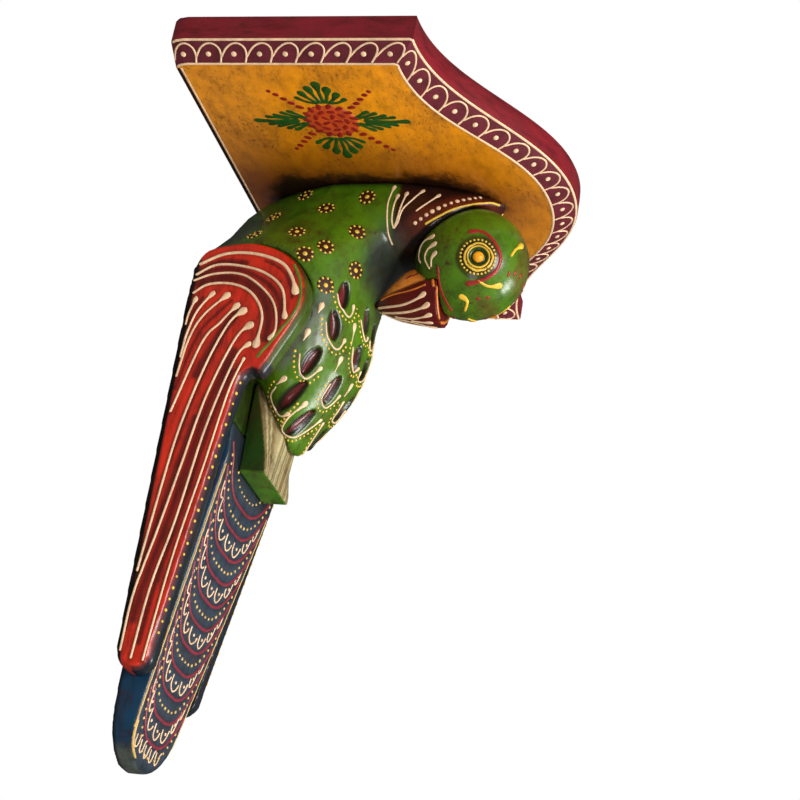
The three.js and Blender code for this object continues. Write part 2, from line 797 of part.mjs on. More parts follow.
addPart("shelf_board", makeShelf(), OCHRE);
addPart("body", makeBody(), GREEN);
addPart("head", makeHead(), GREEN);
addPart("upper_beak", toGeometry(beakSolid(UPPER_BEAK_STATIONS, 0)), MAROON);
addPart("lower_beak", toGeometry(beakSolid(LOWER_BEAK_STATIONS, 0)), ORANGE);
addPart("tail", makeTail(), SLATE_BLUE);
addPart("perch_block", makePerch(), DARK_GREEN);
addPart("neck_dowel", cylinder(DOWEL_RADIUS, ...neckDowelEnds()), RAW_WOOD);
addPart("perch_dowel", cylinder(DOWEL_RADIUS, ...perchDowelEnds()), RAW_WOOD);

SHELF_SCREW_OUTS.forEach((out, i) => {
  addPart(`shelf_screw_${i + 1}`, makeShelfScrew(out), STEEL);
  addPart(`shelf_plug_${i + 1}`, makePlug(out), RAW_WOOD);
});

for (const [label, side] of [["left", -1], ["right", 1]]) {
  addPart(`${label}_wing`, makeWing(side), RED);
  addPart(`${label}_eye`, makeEye(side), YELLOW);
  addPart(`${label}_tail_dowel`, cylinder(DOWEL_RADIUS, ...tailDowelEnds(side)), RAW_WOOD);
  WING_DOWELS.forEach(([out, drop], i) => {
    const ends = wingDowelEnds(side, out, drop);
    addPart(`${label}_wing_dowel_${i + 1}`, cylinder(WING_DOWEL_RADIUS, ...ends), RAW_WOOD);
  });
  addPart(`${label}_hanger_plate`, makeHanger(side), STEEL);
  hangerScrewSpots(side).forEach((spot, i) => {
    addPart(`${label}_hanger_screw_${i + 1}`, makeHangerScrew(spot), STEEL);
  });
}

export default group;
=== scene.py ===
"""A hand-painted, carved parrot wall bracket: the fine surface, carving and raised paint
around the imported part."""

import math
import random

import bpy
import numpy as np
from mathutils import Matrix, Vector
from mathutils.bvhtree import BVHTree

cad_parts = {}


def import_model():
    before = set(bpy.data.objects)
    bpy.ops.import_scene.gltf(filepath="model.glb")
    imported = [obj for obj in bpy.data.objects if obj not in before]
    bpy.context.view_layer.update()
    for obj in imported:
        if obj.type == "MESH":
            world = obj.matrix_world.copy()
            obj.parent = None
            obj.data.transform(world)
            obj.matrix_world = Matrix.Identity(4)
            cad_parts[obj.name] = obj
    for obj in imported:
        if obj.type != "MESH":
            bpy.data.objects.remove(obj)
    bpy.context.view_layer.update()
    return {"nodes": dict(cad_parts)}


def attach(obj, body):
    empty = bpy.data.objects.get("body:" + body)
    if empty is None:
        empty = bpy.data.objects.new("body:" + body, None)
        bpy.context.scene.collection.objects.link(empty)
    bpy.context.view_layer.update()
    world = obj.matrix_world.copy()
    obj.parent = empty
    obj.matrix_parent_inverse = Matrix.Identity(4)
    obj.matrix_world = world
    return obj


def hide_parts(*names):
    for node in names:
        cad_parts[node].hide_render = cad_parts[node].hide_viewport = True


MM = 0.001
SHELF_TOP = 90.0  # height of the shelf's top above the origin, in mm
SHELF_DROP = 18.1  # the shelf's flat underside, below its top
SIDES = (("left", -1), ("right", 1))

# Colours, as red, green and blue out of 255.
CREAM = (224, 188, 148)
YELLOW = (222, 180, 62)
TAN = (206, 168, 92)
GREEN = (70, 108, 8)
DEEP_GREEN = (24, 50, 8)
LEAF_GREEN = (22, 78, 14)
SCARLET = (190, 36, 8)
MAROON = (104, 20, 12)
CRIMSON = (118, 20, 30)
BAND = (100, 28, 40)
OCHRE = (216, 134, 2)
ORANGE = (206, 112, 26)
BEAD = (240, 158, 24)
LEMON = (226, 178, 44)
BROWN = (58, 22, 12)
SLATE = (46, 58, 70)
BLUE = (8, 52, 78)
THROAT_SHADE = (64, 76, 62)
BLACK = (9, 7, 6)
STROKE_RED = (150, 24, 20)
ARCH_RED = (122, 34, 50)
LINE_GREEN = (92, 120, 30)
DARK_GROUND = (58, 28, 6)
FLOWER_RED = (186, 66, 16)
FLOWER_DARK = (136, 16, 6)
BACK_BLACK = (16, 13, 11)
SHADE_BROWN = (112, 50, 6)
SHADE_BLACK = (22, 10, 6)
WING_RIM = (62, 16, 8)
WING_SHOULDER = (64, 92, 16)
WING_LOW_RIM = (24, 38, 46)
WING_INSIDE = (22, 36, 50)
TAIL_TIP = (92, 92, 70)
DROP_RIM = (16, 24, 12)
DROP_HEART = (98, 22, 22)
NECK_BROWN = (44, 18, 10)
COLLAR_BROWN = (84, 28, 12)
SCRAPE_AND_HIGHLIGHT = (96, 112, 88)
FACE_LOW = (96, 44, 26)
FACE_FRONT = (96, 34, 30)
EYE_GREEN = (52, 62, 8)
EYE_HOLLOW = (52, 78, 10)
PERCH_SIDE = (30, 60, 10)
PERCH_FOOT = (62, 118, 8)
PERCH_FRONT = (118, 98, 60)
PERCH_STREAK = (182, 172, 128)
UPPER_BEAK = (92, 10, 8)
UPPER_BEAK_TOP = (60, 8, 6)
LOWER_BEAK = (228, 136, 44)
LOWER_BEAK_TOP = (214, 96, 30)
ZINC = (168, 172, 170)
WOOD_DARK = (120, 78, 40)
WOOD_PALE = (196, 150, 96)
FLOOR_GREY = (238, 238, 236)
FLOOR_PALE = (246, 246, 245)

FAR = 1e9  # further than any distance on the bracket

random.seed(7)


def linear(colour):
    """A colour out of 255 as the renderer's linear red, green, blue and alpha."""
    parts = [c / 255 for c in colour]
    return [c / 12.92 if c < 0.04045 else ((c + 0.055) / 1.055) ** 2.4 for c in parts] + [1.0]


def at(x, out, drop):
    """A point in mm: x from the middle, out from the wall, drop below the shelf's top."""
    return Vector((x, -out, SHELF_TOP - drop))


# ---------------------------------------------------------------- materials

# The painted shade round the bird on the underside, in metres out from the wall.
SHADE_END = 0.1
NECK_START = 0.035
SHADE_RAG = 0.036  # how far noise moves the painted shade's edge


def node(tree, kind, **values):
    """A shader node with its inputs or properties set by name."""
    made = tree.nodes.new(kind)
    for key, value in values.items():
        if key in made.inputs:
            made.inputs[key].default_value = value
        else:
            setattr(made, key, value)
    return made


def noise(tree, place, scale, detail=4.0, roughness=0.6):
    made = node(tree, "ShaderNodeTexNoise", Scale=scale, Detail=detail, Roughness=roughness)
    tree.links.new(place, made.inputs["Vector"])
    return made.outputs["Fac"]


def ramp(tree, fac, stops):
    """A colour ramp through (place, colour) stops."""
    made = tree.nodes.new("ShaderNodeValToRGB")
    elements = made.color_ramp.elements
    while len(elements) < len(stops):
        elements.new(0.5)
    for element, (place, colour) in zip(elements, stops):
        element.position = place
        element.color = colour
    tree.links.new(fac, made.inputs["Fac"])
    return made.outputs["Color"]


def grey(value):
    return (value, value, value, 1.0)


def mix(tree, kind, fac, a, b):
    made = tree.nodes.new("ShaderNodeMix")
    made.data_type = "RGBA"
    made.blend_type = kind
    if isinstance(fac, float):
        made.inputs[0].default_value = fac
    else:
        tree.links.new(fac, made.inputs[0])
    for socket, value in ((made.inputs[6], a), (made.inputs[7], b)):
        if isinstance(value, (tuple, list)):
            socket.default_value = value
        else:
            tree.links.new(value, socket)
    return made.outputs[2]


def stretched(tree, place, scale):
    """The place scaled, so that a pattern on it runs long where the scale is small."""
    made = node(tree, "ShaderNodeMapping", Scale=scale)
    tree.links.new(place, made.inputs["Vector"])
    return made.outputs["Vector"]


def roughen(tree, shader, fac, least, most):
    """Roughness that goes from least to most with fac."""
    sheen = node(tree, "ShaderNodeMapRange", **{"To Min": least, "To Max": most})
    tree.links.new(fac, sheen.inputs["Value"])
    tree.links.new(sheen.outputs["Result"], shader.inputs["Roughness"])


def emboss(tree, shader, fac, strength, distance):
    """Fine relief that follows fac."""
    relief = node(tree, "ShaderNodeBump", Strength=strength, Distance=distance)
    tree.links.new(fac, relief.inputs["Height"])
    tree.links.new(relief.outputs["Normal"], shader.inputs["Normal"])


def fresh_material(name):
    made = bpy.data.materials.new(name)
    made.use_nodes = True
    tree = made.node_tree
    shader = next(n for n in tree.nodes if n.type == "BSDF_PRINCIPLED")
    place = tree.nodes.new("ShaderNodeTexCoord").outputs["Object"]
    return made, tree, shader, place


def brushed(name, colour, streak, streak_scale, dark, darkening, wash_size, gloss, bump):
    """Glossy paint over wood. The brush streaks run along the axis with the smallest streak number,
    the darkest are dark times the colour, and patches of brown dirt darken it by the given strength.
    colour is None where the piece stores its own paint at each point, with a darkening towards black
    that holds black paint, dark painted lines and painted shade."""
    made, tree, shader, place = fresh_material(name)
    along = stretched(tree, place, streak)
    streaks = noise(tree, along, streak_scale, 6.0, 0.65)
    clouds = noise(tree, place, wash_size, 5.0, 0.7)
    scratches = noise(tree, along, streak_scale * 3.5, 3.0, 0.8)
    shade = ramp(tree, streaks, [(0.3, grey(dark)), (0.5, grey(0.92)), (0.72, grey(1.12))])
    if colour is None:
        plain = node(tree, "ShaderNodeAttribute", attribute_name="paint").outputs["Color"]
    else:
        plain = linear(colour)
    painted = mix(tree, "MULTIPLY", 1.0, plain, shade)
    stained = ramp(tree, clouds, [(0.45, grey(0.0)), (0.8, grey(darkening * 0.7))])
    painted = mix(tree, "MIX", stained, painted, linear(BROWN))
    scratched = ramp(tree, scratches, [(0.54, grey(0.0)), (0.66, grey(darkening))])
    worn = ramp(tree, clouds, [(0.42, grey(0.1)), (0.6, grey(1.0))])
    scratched = mix(tree, "MULTIPLY", 1.0, scratched, worn)
    painted = mix(tree, "MIX", scratched, painted, linear(BROWN))
    # The stored darkening towards black: black paint, dark painted lines and painted shade.
    if colour is None:
        stored = node(tree, "ShaderNodeAttribute", attribute_name="darkening")
        painted = mix(tree, "MIX", stored.outputs["Fac"], painted, linear(BLACK))
    tree.links.new(painted, shader.inputs["Base Color"])
    roughen(tree, shader, clouds, gloss, gloss + 0.22)
    shader.inputs["Specular IOR Level"].default_value = 0.35
    shader.inputs["Coat Weight"].default_value = 0.2
    shader.inputs["Coat Roughness"].default_value = 0.16
    emboss(tree, shader, streaks, bump, 0.0006)
    return made


def away_from_bird(tree, place, start):
    """How far a point of the underside is from a strip down the middle, in metres, with a ragged
    edge. The strip runs out from the wall, from start to where the painted shade round the bird ends."""
    parts = tree.nodes.new("ShaderNodeSeparateXYZ")
    tree.links.new(place, parts.inputs["Vector"])

    def maths(operation, *values):
        made = node(tree, "ShaderNodeMath", operation=operation)
        for socket, value in zip(made.inputs, values):
            if isinstance(value, float):
                socket.default_value = value
            else:
                tree.links.new(value, socket)
        return made.outputs["Value"]

    nearest = maths("MAXIMUM", maths("MINIMUM", parts.outputs["Y"], -start), -SHADE_END)
    beside = maths("SUBTRACT", parts.outputs["Y"], nearest)
    squares = [maths("MULTIPLY", part, part) for part in (beside, parts.outputs["X"])]
    away = maths("SQRT", maths("ADD", *squares))
    ragged = maths("MULTIPLY", noise(tree, place, 60, 8.0, 0.8), SHADE_RAG)
    return maths("ADD", away, ragged)


def shaded_ochre(name):
    """The underside's ochre, with painted shade round the bird: brown and wide from the wall outwards,
    black and close from the neck outwards.
    """
    made = brushed(name, OCHRE, (0.7, 1.4, 1.0), 150, 0.6, 0.85, 30, 0.26, 0.25)
    tree = made.node_tree
    shader = next(n for n in tree.nodes if n.type == "BSDF_PRINCIPLED")
    base = shader.inputs["Base Color"].links[0].from_socket
    place = next(n for n in tree.nodes if n.type == "TEX_COORD").outputs["Object"]
    # Painted shade round the bird: brown and wide, then black and close.
    broad = ramp(tree, away_from_bird(tree, place, 0.0), [(0.03, grey(0.9)), (0.085, grey(0.0))])
    brown = mix(tree, "MIX", broad, base, linear(SHADE_BROWN))
    close = away_from_bird(tree, place, NECK_START)
    tight = ramp(tree, close, [(0.038, grey(0.95)), (0.045, grey(0.0))])
    dark = mix(tree, "MIX", tight, brown, linear(SHADE_BLACK))
    tree.links.new(dark, shader.inputs["Base Color"])
    return made


def metal(name, colour, rough):
    """Worn metal with fine scratches and dull patches."""
    made, tree, shader, place = fresh_material(name)
    lines = noise(tree, stretched(tree, place, (1, 1, 14)), 260)
    patches = noise(tree, place, 140)
    bright = linear(colour)
    dull = [part * 0.45 for part in bright[:3]] + [1]
    tint = ramp(tree, patches, [(0.35, dull), (0.65, bright)])
    tree.links.new(tint, shader.inputs["Base Color"])
    shader.inputs["Metallic"].default_value = 1.0
    roughen(tree, shader, lines, rough, rough + 0.3)
    emboss(tree, shader, lines, 0.1, 0.0002)
    return made


def bare_wood(name):
    """Pale wood with a lengthwise grain, for the dowels and plugs."""
    made, tree, shader, place = fresh_material(name)
    lines = noise(tree, stretched(tree, place, (6, 6, 0.6)), 180, 5.0)
    tint = ramp(tree, lines, [(0.3, linear(WOOD_DARK)), (0.7, linear(WOOD_PALE))])
    tree.links.new(tint, shader.inputs["Base Color"])
    shader.inputs["Roughness"].default_value = 0.62
    emboss(tree, shader, lines, 0.2, 0.0003)
    return made


# ---------------------------------------------------------------- meshes


def add_object(name, verts, faces, materials):
    """A smooth-shaded piece from points in mm, riding on the bracket's one body."""
    mesh = bpy.data.meshes.new(name)
    mesh.from_pydata([Vector(v) * MM for v in verts], [], faces)
    mesh.validate()
    mesh.shade_smooth()
    made = bpy.data.objects.new(name, mesh)
    bpy.context.scene.collection.objects.link(made)
    for material in materials:
        mesh.materials.append(material)
    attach(made, "root")
    return made


def refined(cad, part, voxel, rounds, material):
    """A fine, softened copy of a CAD node, which stands for that node."""
    made = bpy.data.objects.new(f"{part}_form", cad[part].data.copy())
    bpy.context.scene.collection.objects.link(made)
    remesh = made.modifiers.new("remesh", "REMESH")
    remesh.mode = "VOXEL"
    remesh.voxel_size = voxel * MM
    smooth = made.modifiers.new("smooth", "SMOOTH")
    smooth.factor = 0.5
    smooth.iterations = rounds
    graph = bpy.context.evaluated_depsgraph_get()
    mesh = bpy.data.meshes.new_from_object(made.evaluated_get(graph))
    made.modifiers.clear()
    made.data = mesh
    mesh.shade_smooth()
    mesh.materials.clear()
    mesh.materials.append(material)
    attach(made, "root")
    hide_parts(part)
    return made


def mirrored(side, points):
    """Points given as (x from the middle, out, drop), on the left for side -1 or the right for 1."""
    return [at(x * side, out, drop) for x, out, drop in points]


def circle(centre, axis, radius, count, start=0.0):
    """Points evenly round a centre, square to an axis. start turns them by that share of a step."""
    across = axis.orthogonal().normalized()
    other = axis.cross(across)
    angles = [2 * math.pi * (i + start) / count for i in range(count)]
    return [centre + (across * math.cos(a) + other * math.sin(a)) * radius for a in angles]


def turned(profile, centre, axis, around):
    """Points and faces of a closed turned shape, from its (radius, height) profile along an axis."""
    verts, faces = [], []
    for radius, height in profile:
        verts += circle(centre + axis * height, axis, radius, around)
    for base in range(0, len(verts) - around, around):
        for i in range(around):
            j = (i + 1) % around
            faces.append((base + i, base + around + i, base + around + j, base + j))
    faces.append(list(range(around)))
    faces.append([len(verts) - around + i for i in range(around)][::-1])
    return verts, faces


def store_paint(mesh, colours, darkening):
    """Keeps a colour and a darkening towards black at each point, for the brushed materials. The
    darkening holds black paint, dark painted lines and painted shade.
    """
    paint = mesh.attributes.new("paint", "FLOAT_COLOR", "POINT")
    paint.data.foreach_set("color", np.array(colours, np.float32).ravel())
    stored = mesh.attributes.new("darkening", "FLOAT", "POINT")
    stored.data.foreach_set("value", np.array(darkening, np.float32))


def distance(points, path):
    """How far each (n, k) point is from the nearest point of a path."""
    best = np.full(len(points), FAR)
    for spot in path:
        best = np.minimum(best, ((points - np.array(spot)) ** 2).sum(1))
    return np.sqrt(best)


def rise(value, low, high):
    """0 below low, 1 above high, and smooth between."""
    t = np.clip((value - low) / (high - low), 0, 1)
    return t * t * (3 - 2 * t)


def soft_band(away, half):
    """1 where away is 0, falling smoothly to a third at half and to nearly 0 at twice that."""
    return np.exp(-((away / half) ** 2))


class Surface:
    """The points of a refined piece, to carve and to colour."""

    def __init__(self, made, colour):
        self.made = made
        self.co = self.read("co") / MM
        self.normal = self.read("normal")
        self.x = self.co[:, 0]
        self.out = -self.co[:, 1]
        self.drop = SHELF_TOP - self.co[:, 2]
        self.place = np.stack([self.x, self.out, self.drop], 1)
        self.side = np.stack([self.out, self.drop], 1)
        self.paint = np.tile(np.array(linear(colour)), (len(self.co), 1))
        self.darkening = np.zeros(len(self.co))
        self.depth = np.zeros(len(self.co))

    def read(self, kind):
        """The positions or normals of the points, one row each."""
        vertices = self.made.data.vertices
        flat = np.zeros(len(vertices) * 3, np.float32)
        vertices.foreach_get(kind, flat)
        return flat.reshape(-1, 3)

    def colour(self, mask, colour):
        """Lays a colour where mask is 1, mixed where it is between 0 and 1."""
        mask = np.clip(np.asarray(mask, float), 0, 1)[:, None]
        self.paint = self.paint * (1 - mask) + np.array(linear(colour)) * mask

    # Darkening towards black, kept at each point: black paint, dark painted lines and painted shade.
    def darken(self, amount):
        self.darkening = np.maximum(self.darkening, amount)

    def finish(self):
        mesh = self.made.data
        moved = (self.co - self.normal * self.depth[:, None]) * MM
        mesh.vertices.foreach_set("co", moved.astype(np.float32).ravel())
        store_paint(mesh, self.paint, np.clip(self.darkening, 0, 0.97))
        mesh.update()


# ---------------------------------------------------------------- raised paint


def flowing(points, step=0.7):
    """A smooth path through points, with a point about every step mm."""
    points = [Vector(p) for p in points]
    if len(points) == 2:
        points.insert(1, (points[0] + points[1]) / 2)
    ends = [points[0] * 2 - points[1], *points, points[-1] * 2 - points[-2]]
    path = []
    for a, b, c, d in zip(ends, ends[1:], ends[2:], ends[3:]):
        count = max(2, int((c - b).length / step))
        for i in range(count):
            t = i / count
            square = (2 * a - 5 * b + 4 * c - d) * t * t
            cube = (3 * b - a - 3 * c + d) * t**3
            path.append(0.5 * (2 * b + (c - a) * t + square + cube))
    return [*path, points[-1]]


class Canvas:
    """The surface that paint lies on."""

    def __init__(self, made):
        verts = [v.co / MM for v in made.data.vertices]
        faces = [list(f.vertices) for f in made.data.polygons]
        self.tree = BVHTree.FromPolygons(verts, faces)

    def touch(self, point):
        spot, normal, _, _ = self.tree.find_nearest(point)
        return spot, normal


class Paint:
    """Raised paint of one colour on one canvas, gathered into one piece."""

    ACROSS = (-1.0, -0.82, -0.42, 0.0, 0.42, 0.82, 1.0)
    EDGE_SUNK = 0.12  # a stroke's edge lies this far below the surface, in mm, so that no gap shows
    END_ROWS = (0.0, 0.06, 0.25, 0.55, 1.0)  # rows near an end, in half-widths from it
    SHELLS = ((1.0, -0.12), (0.82, 0.45), (0.45, 0.85))  # a dot's rings, as shares of its radius and height
    DOT_SIDES = 10

    def __init__(self, name, canvas, material, slot):
        self.name, self.canvas, self.material, self.slot = name, canvas, material, slot
        self.verts, self.faces = [], []

    def stroke(self, points, head, tail=None, height=0.35, swell=2.5, both=False):
        """A brush stroke that ends in a round head of half-width head.
        It is tail wide elsewhere and swells over swell heads; both gives the start a head as well."""
        tail = head if tail is None else tail
        path = [self.canvas.touch(p)[0] for p in flowing(points)]
        runs = [0.0]
        for a, b in zip(path, path[1:]):
            runs.append(runs[-1] + (b - a).length)
        length = runs[-1]
        places = set(np.linspace(0, length, max(4, int(length / 0.7))))
        places |= {min(length, head * f) for f in self.END_ROWS}
        places |= {max(0, length - head * f) for f in self.END_ROWS}
        rows = []
        normal = None
        for place in sorted(places):
            i = min(int(np.searchsorted(runs, place, side="right")) - 1, len(path) - 2)
            share = (place - runs[i]) / max(1e-6, runs[i + 1] - runs[i])
            spot = path[i].lerp(path[i + 1], min(1.0, share))
            ahead = path[min(i + 2, len(path) - 1)] - path[max(i - 1, 0)]
            here = self.canvas.touch(spot)[1]
            normal = here if normal is None else (normal * 0.5 + here * 0.5).normalized()
            side = normal.cross(ahead).normalized()
            grown = rise(place, length - (swell + 1) * head, length - head)
            if both:
                grown = max(grown, 1 - rise(place, head, (swell + 1) * head))
            width = tail + (head - tail) * grown
            start = head if both else tail
            for end, reach in ((place, start), (length - place, head)):
                if end < reach:
                    width *= math.sqrt(max(0.02, 1 - (1 - end / reach) ** 2))
            rows.append((spot, normal.copy(), side, width))
        self.skin(rows, height * (0.75 + 0.5 * random.random()))

    def skin(self, rows, height):
        """Joins the rows of a stroke into one closed ridge of paint."""
        first = len(self.verts)
        ring = len(self.ACROSS)
        for spot, normal, side, width in rows:
            for across in self.ACROSS:
                low, up = self.canvas.touch(spot + side * width * across)
                sunk = self.EDGE_SUNK if abs(across) == 1 else 0
                lift = height * min(1.0, width / 0.5) * (1 - across * across) - sunk
                self.verts.append(low + (up * 0.4 + normal * 0.6) * lift)
        for row in range(len(rows) - 1):
            base = first + row * ring
            for i in range(ring):
                j = (i + 1) % ring
                self.faces.append((base + i, base + j, base + ring + j, base + ring + i))
        self.faces.append([first + i for i in range(ring)][::-1])
        self.faces.append([first + (len(rows) - 1) * ring + i for i in range(ring)])

    def dot(self, centre, radius, height=0.45):
        """A small round dome of paint."""
        spot, normal = self.canvas.touch(Vector(centre))
        first = len(self.verts)
        around = self.DOT_SIDES
        for reach, lift in self.SHELLS:
            for p in circle(spot, normal, radius * reach, around):
                low, _ = self.canvas.touch(p)
                self.verts.append(low + normal * height * lift)
        top = len(self.verts)
        self.verts.append(spot + normal * height)
        for base in range(first, top - around, around):
            for i in range(around):
                a, b = base + i, base + (i + 1) % around
                self.faces.append((a, b, b + around, a + around))
        last = top - around
        for i in range(around):
            self.faces.append((last + i, last + (i + 1) % around, top))
        self.faces.append([first + i for i in range(around)][::-1])

    def dots(self, points, radius, spacing, height=0.45):
        """Dots at an even spacing along a path."""
        path = flowing(points, 0.2)
        gone = spacing
        for a, b in zip(path, path[1:]):
            gone += (b - a).length
            if gone >= spacing:
                gone = 0.0
                self.dot(b, radius * (0.85 + 0.3 * random.random()), height)

    def build(self):
        return add_object(self.name, self.verts, self.faces, [self.material])


# ---------------------------------------------------------------- shelf

SHELF_HALF = 125  # half the board's width
SHELF_CORNER = 111  # how far out its corners are
SHELF_NOSE = 160.7  # how far out the middle of its front is
WAVE_PULL = 52  # how far the curve of the front is drawn level at the corners and the middle
SIDE_STEPS = 12
FRONT_STEPS = 60
TUCK = 2.8  # how far the sides draw in where they meet the wall
TUCK_REACH = 5  # how far out from the wall they do so
# The fascia from the top down, as (inset, drop).
SHELF_PROFILE = (
    (1.6, 0.0),
    (0.7, 0.35),
    (0.15, 1.3),
    (0.0, 4.0),
    (0.0, 11.4),
    (0.25, 12.1),
    (0.9, 12.6),
)
BAND_OUTER = (0.9, 12.6)  # the painted bevel band, as inset and drop
BAND_INNER = (11.0, 18.1)
FRONT_SCALLOPS = 20
SIDE_SCALLOPS = 9
# One scallop, as (share of its length, share across the band).
SCALLOP = ((0.02, 0.96), (0.0, 0.62), (0.1, 0.32), (0.34, 0.14), (0.6, 0.16), (0.82, 0.36), (0.98, 0.7))
WALL_REACH = 111  # how far to each side the lines along the wall run
PLUG_OUTS = (34, 64, 96)
# A plug from its crown down, as (radius, drop).
PLUG_PROFILE = ((0.02, -0.3), (2.6, -0.28), (4.2, -0.18), (4.75, 0.05), (4.8, 0.6), (4.8, 3.9))

FLOWER = (70, 61)  # the rosette's centre, as (x from the middle, out)
# Rings of dabs: how many, radius, length, half-width and slant.
FLOWER_RINGS = (
    (15, 11.4, 4.4, 1.5, 0.45),
    (9, 7.2, 4.2, 1.55, 1.35),
    (5, 3.2, 4.6, 1.5, 0.0),
)
# Barbs of a long spray: how far out and how far across each ends, and its length.
FLOWER_BARBS = ((31, 4.2, 9), (27, 6.0, 9), (23, 8.2, 8), (19.5, 9.6, 6))
# Blades of a fan: how far out and how far across each ends, and its half-width.
FLOWER_BLADES = (
    (0, 31, 2.6),
    (-5, 27.5, 2.4),
    (-9.5, 23.5, 2.1),
    (-12.5, 19, 1.5),
    (4.6, 27, 2.5),
    (8.6, 22.5, 2.2),
    (11.5, 18, 1.5),
)
# A trail of dabs: how far across and out each is, and its length.
FLOWER_TRAIL = (
    (10.8, 12.9, 4.2),
    (14.0, 16.2, 3.6),
    (17.2, 19.0, 3.4),
    (20.6, 22.0, 3.0),
    (23.3, 24.8, 2.2),
)


def shelf_outline(inset):
    """The shelf's edge as (x, out), from the wall on the right round the front to the left."""
    corner = Vector((SHELF_HALF - inset, SHELF_CORNER - inset * 0.8))
    nose = Vector((0, SHELF_NOSE - inset))
    out_of_corner = Vector((corner.x - WAVE_PULL, corner.y))
    into_nose = Vector((WAVE_PULL, nose.y))
    half = []
    for i in range(SIDE_STEPS):
        out = corner.y * (i / SIDE_STEPS) ** 1.6
        half.append(Vector((corner.x - TUCK * max(0, 1 - out / TUCK_REACH) ** 2, out)))
    for i in range(FRONT_STEPS + 1):
        t = i / FRONT_STEPS
        a, b = corner * (1 - t) ** 3, out_of_corner * 3 * t * (1 - t) ** 2
        c, d = into_nose * 3 * t * t * (1 - t), nose * t**3
        half.append(a + b + c + d)
    return half + [Vector((-p.x, p.y)) for p in reversed(half[:-1])]


def make_shelf(paints):
    """The board: rounded upper edge, upright fascia, bevelled band and flat underside."""
    inner_edge = (BAND_INNER[0] - 0.5, BAND_INNER[1] - 0.25)
    profile = [*SHELF_PROFILE, inner_edge, (BAND_INNER[0] + 0.4, BAND_INNER[1])]
    verts, faces, kinds = [], [], []
    for inset, drop in profile:
        verts += [at(p.x, p.y, drop) for p in shelf_outline(inset)]
    ring = len(verts) // len(profile)
    for row in range(len(profile) - 1):
        for i in range(ring):
            j = (i + 1) % ring
            base = row * ring
            faces.append((base + i, base + j, base + ring + j, base + ring + i))
            on_wall = i == ring - 1
            kinds.append(3 if on_wall else 1 if row >= len(SHELF_PROFILE) - 1 else 0)
    faces.append(list(range(ring))[::-1])
    kinds.append(0)
    faces.append([ring * (len(profile) - 1) + i for i in range(ring)])
    kinds.append(2)
    made = add_object("shelf", verts, faces, paints)
    made.data.polygons.foreach_set("material_index", kinds)
    made.data.set_sharp_from_angle(angle=math.radians(30))
    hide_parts("shelf_board")
    return made


def make_plugs(material):
    """The three wooden plugs over the shelf screws, each a little proud of the board."""
    for number, out in enumerate(PLUG_OUTS, 1):
        verts, faces = turned(PLUG_PROFILE, at(0, out, 0), Vector((0, 0, -1)), 32)
        plug = add_object(f"plug_{number}", verts, faces, [material])
        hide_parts(f"shelf_plug_{number}")


def band_spot(run, across):
    """A point on the bevel band: run goes from 0 at the wall on the right round to 1 at the wall
    on the left, and across from 0 at the outer edge to 1 at the inner one."""
    outer, inner = shelf_outline(BAND_OUTER[0]), shelf_outline(BAND_INNER[0])
    along = [0.0]
    for a, b in zip(outer, outer[1:]):
        along.append(along[-1] + (b - a).length)
    place = run * along[-1]
    i = min(max(int(np.searchsorted(along, place)) - 1, 0), len(outer) - 2)
    share = (place - along[i]) / (along[i + 1] - along[i])
    p = outer[i].lerp(outer[i + 1], share)
    q = inner[i].lerp(inner[i + 1], share)
    spot = p.lerp(q, across)
    return at(spot.x, spot.y, BAND_OUTER[1] + (BAND_INNER[1] - BAND_OUTER[1]) * across)


def scallop_edges():
    """Where the scallops begin and end round the band."""
    outer = shelf_outline(BAND_OUTER[0])
    runs = [(b - a).length for a, b in zip(outer, outer[1:])]
    whole, side = sum(runs), sum(runs[:SIDE_STEPS])
    share = side / whole
    first = [share * i / SIDE_SCALLOPS for i in range(SIDE_SCALLOPS)]
    front = [share + (1 - 2 * share) * i / FRONT_SCALLOPS for i in range(FRONT_SCALLOPS)]
    last = [1 - share + share * i / SIDE_SCALLOPS for i in range(SIDE_SCALLOPS + 1)]
    return [*first, *front, *last]


def trim_shelf(shelf, cream, red, dark_red, leaf, black):
    """The lines, scallops and two flowers painted on the board."""
    canvas = Canvas(shelf)
    wall_edge = Paint("shelf_wall_edge", canvas, black, "ochre_paint")
    across_wall = range(-WALL_REACH, WALL_REACH + 1, 6)
    wall_edge.stroke([at(x, 0.9, SHELF_DROP) for x in across_wall], 0.9, 0.9, 0.15)
    wall_edge.build()
    lines = Paint("shelf_cream_trim", canvas, cream, "yellow_paint")
    runs = [0.002 + 0.996 * i / 240 for i in range(241)]
    for across in (-0.02, 1.0):
        lines.stroke([band_spot(r, across) for r in runs], 0.65, height=0.3)
    lines.stroke([at(x, 2.3, SHELF_DROP) for x in across_wall], 0.5, 0.5, 0.2)
    edges = scallop_edges()
    for a, b in zip(edges, edges[1:]):
        lines.stroke([band_spot(a + (b - a) * u, v) for u, v in SCALLOP], 0.5, height=0.3)
        lines.dot(band_spot(a + (b - a) * 0.5, 0.58), 1.35, 0.5)
    lines.build()
    paints = [
        Paint("shelf_flower_red", canvas, red, "red_paint"),
        Paint("shelf_flower_dark", canvas, dark_red, "red_paint"),
        Paint("shelf_flower_leaves", canvas, leaf, "green_paint"),
    ]
    for _, side in SIDES:
        paint_flower(side, *paints)
    for paint in paints:
        paint.build()


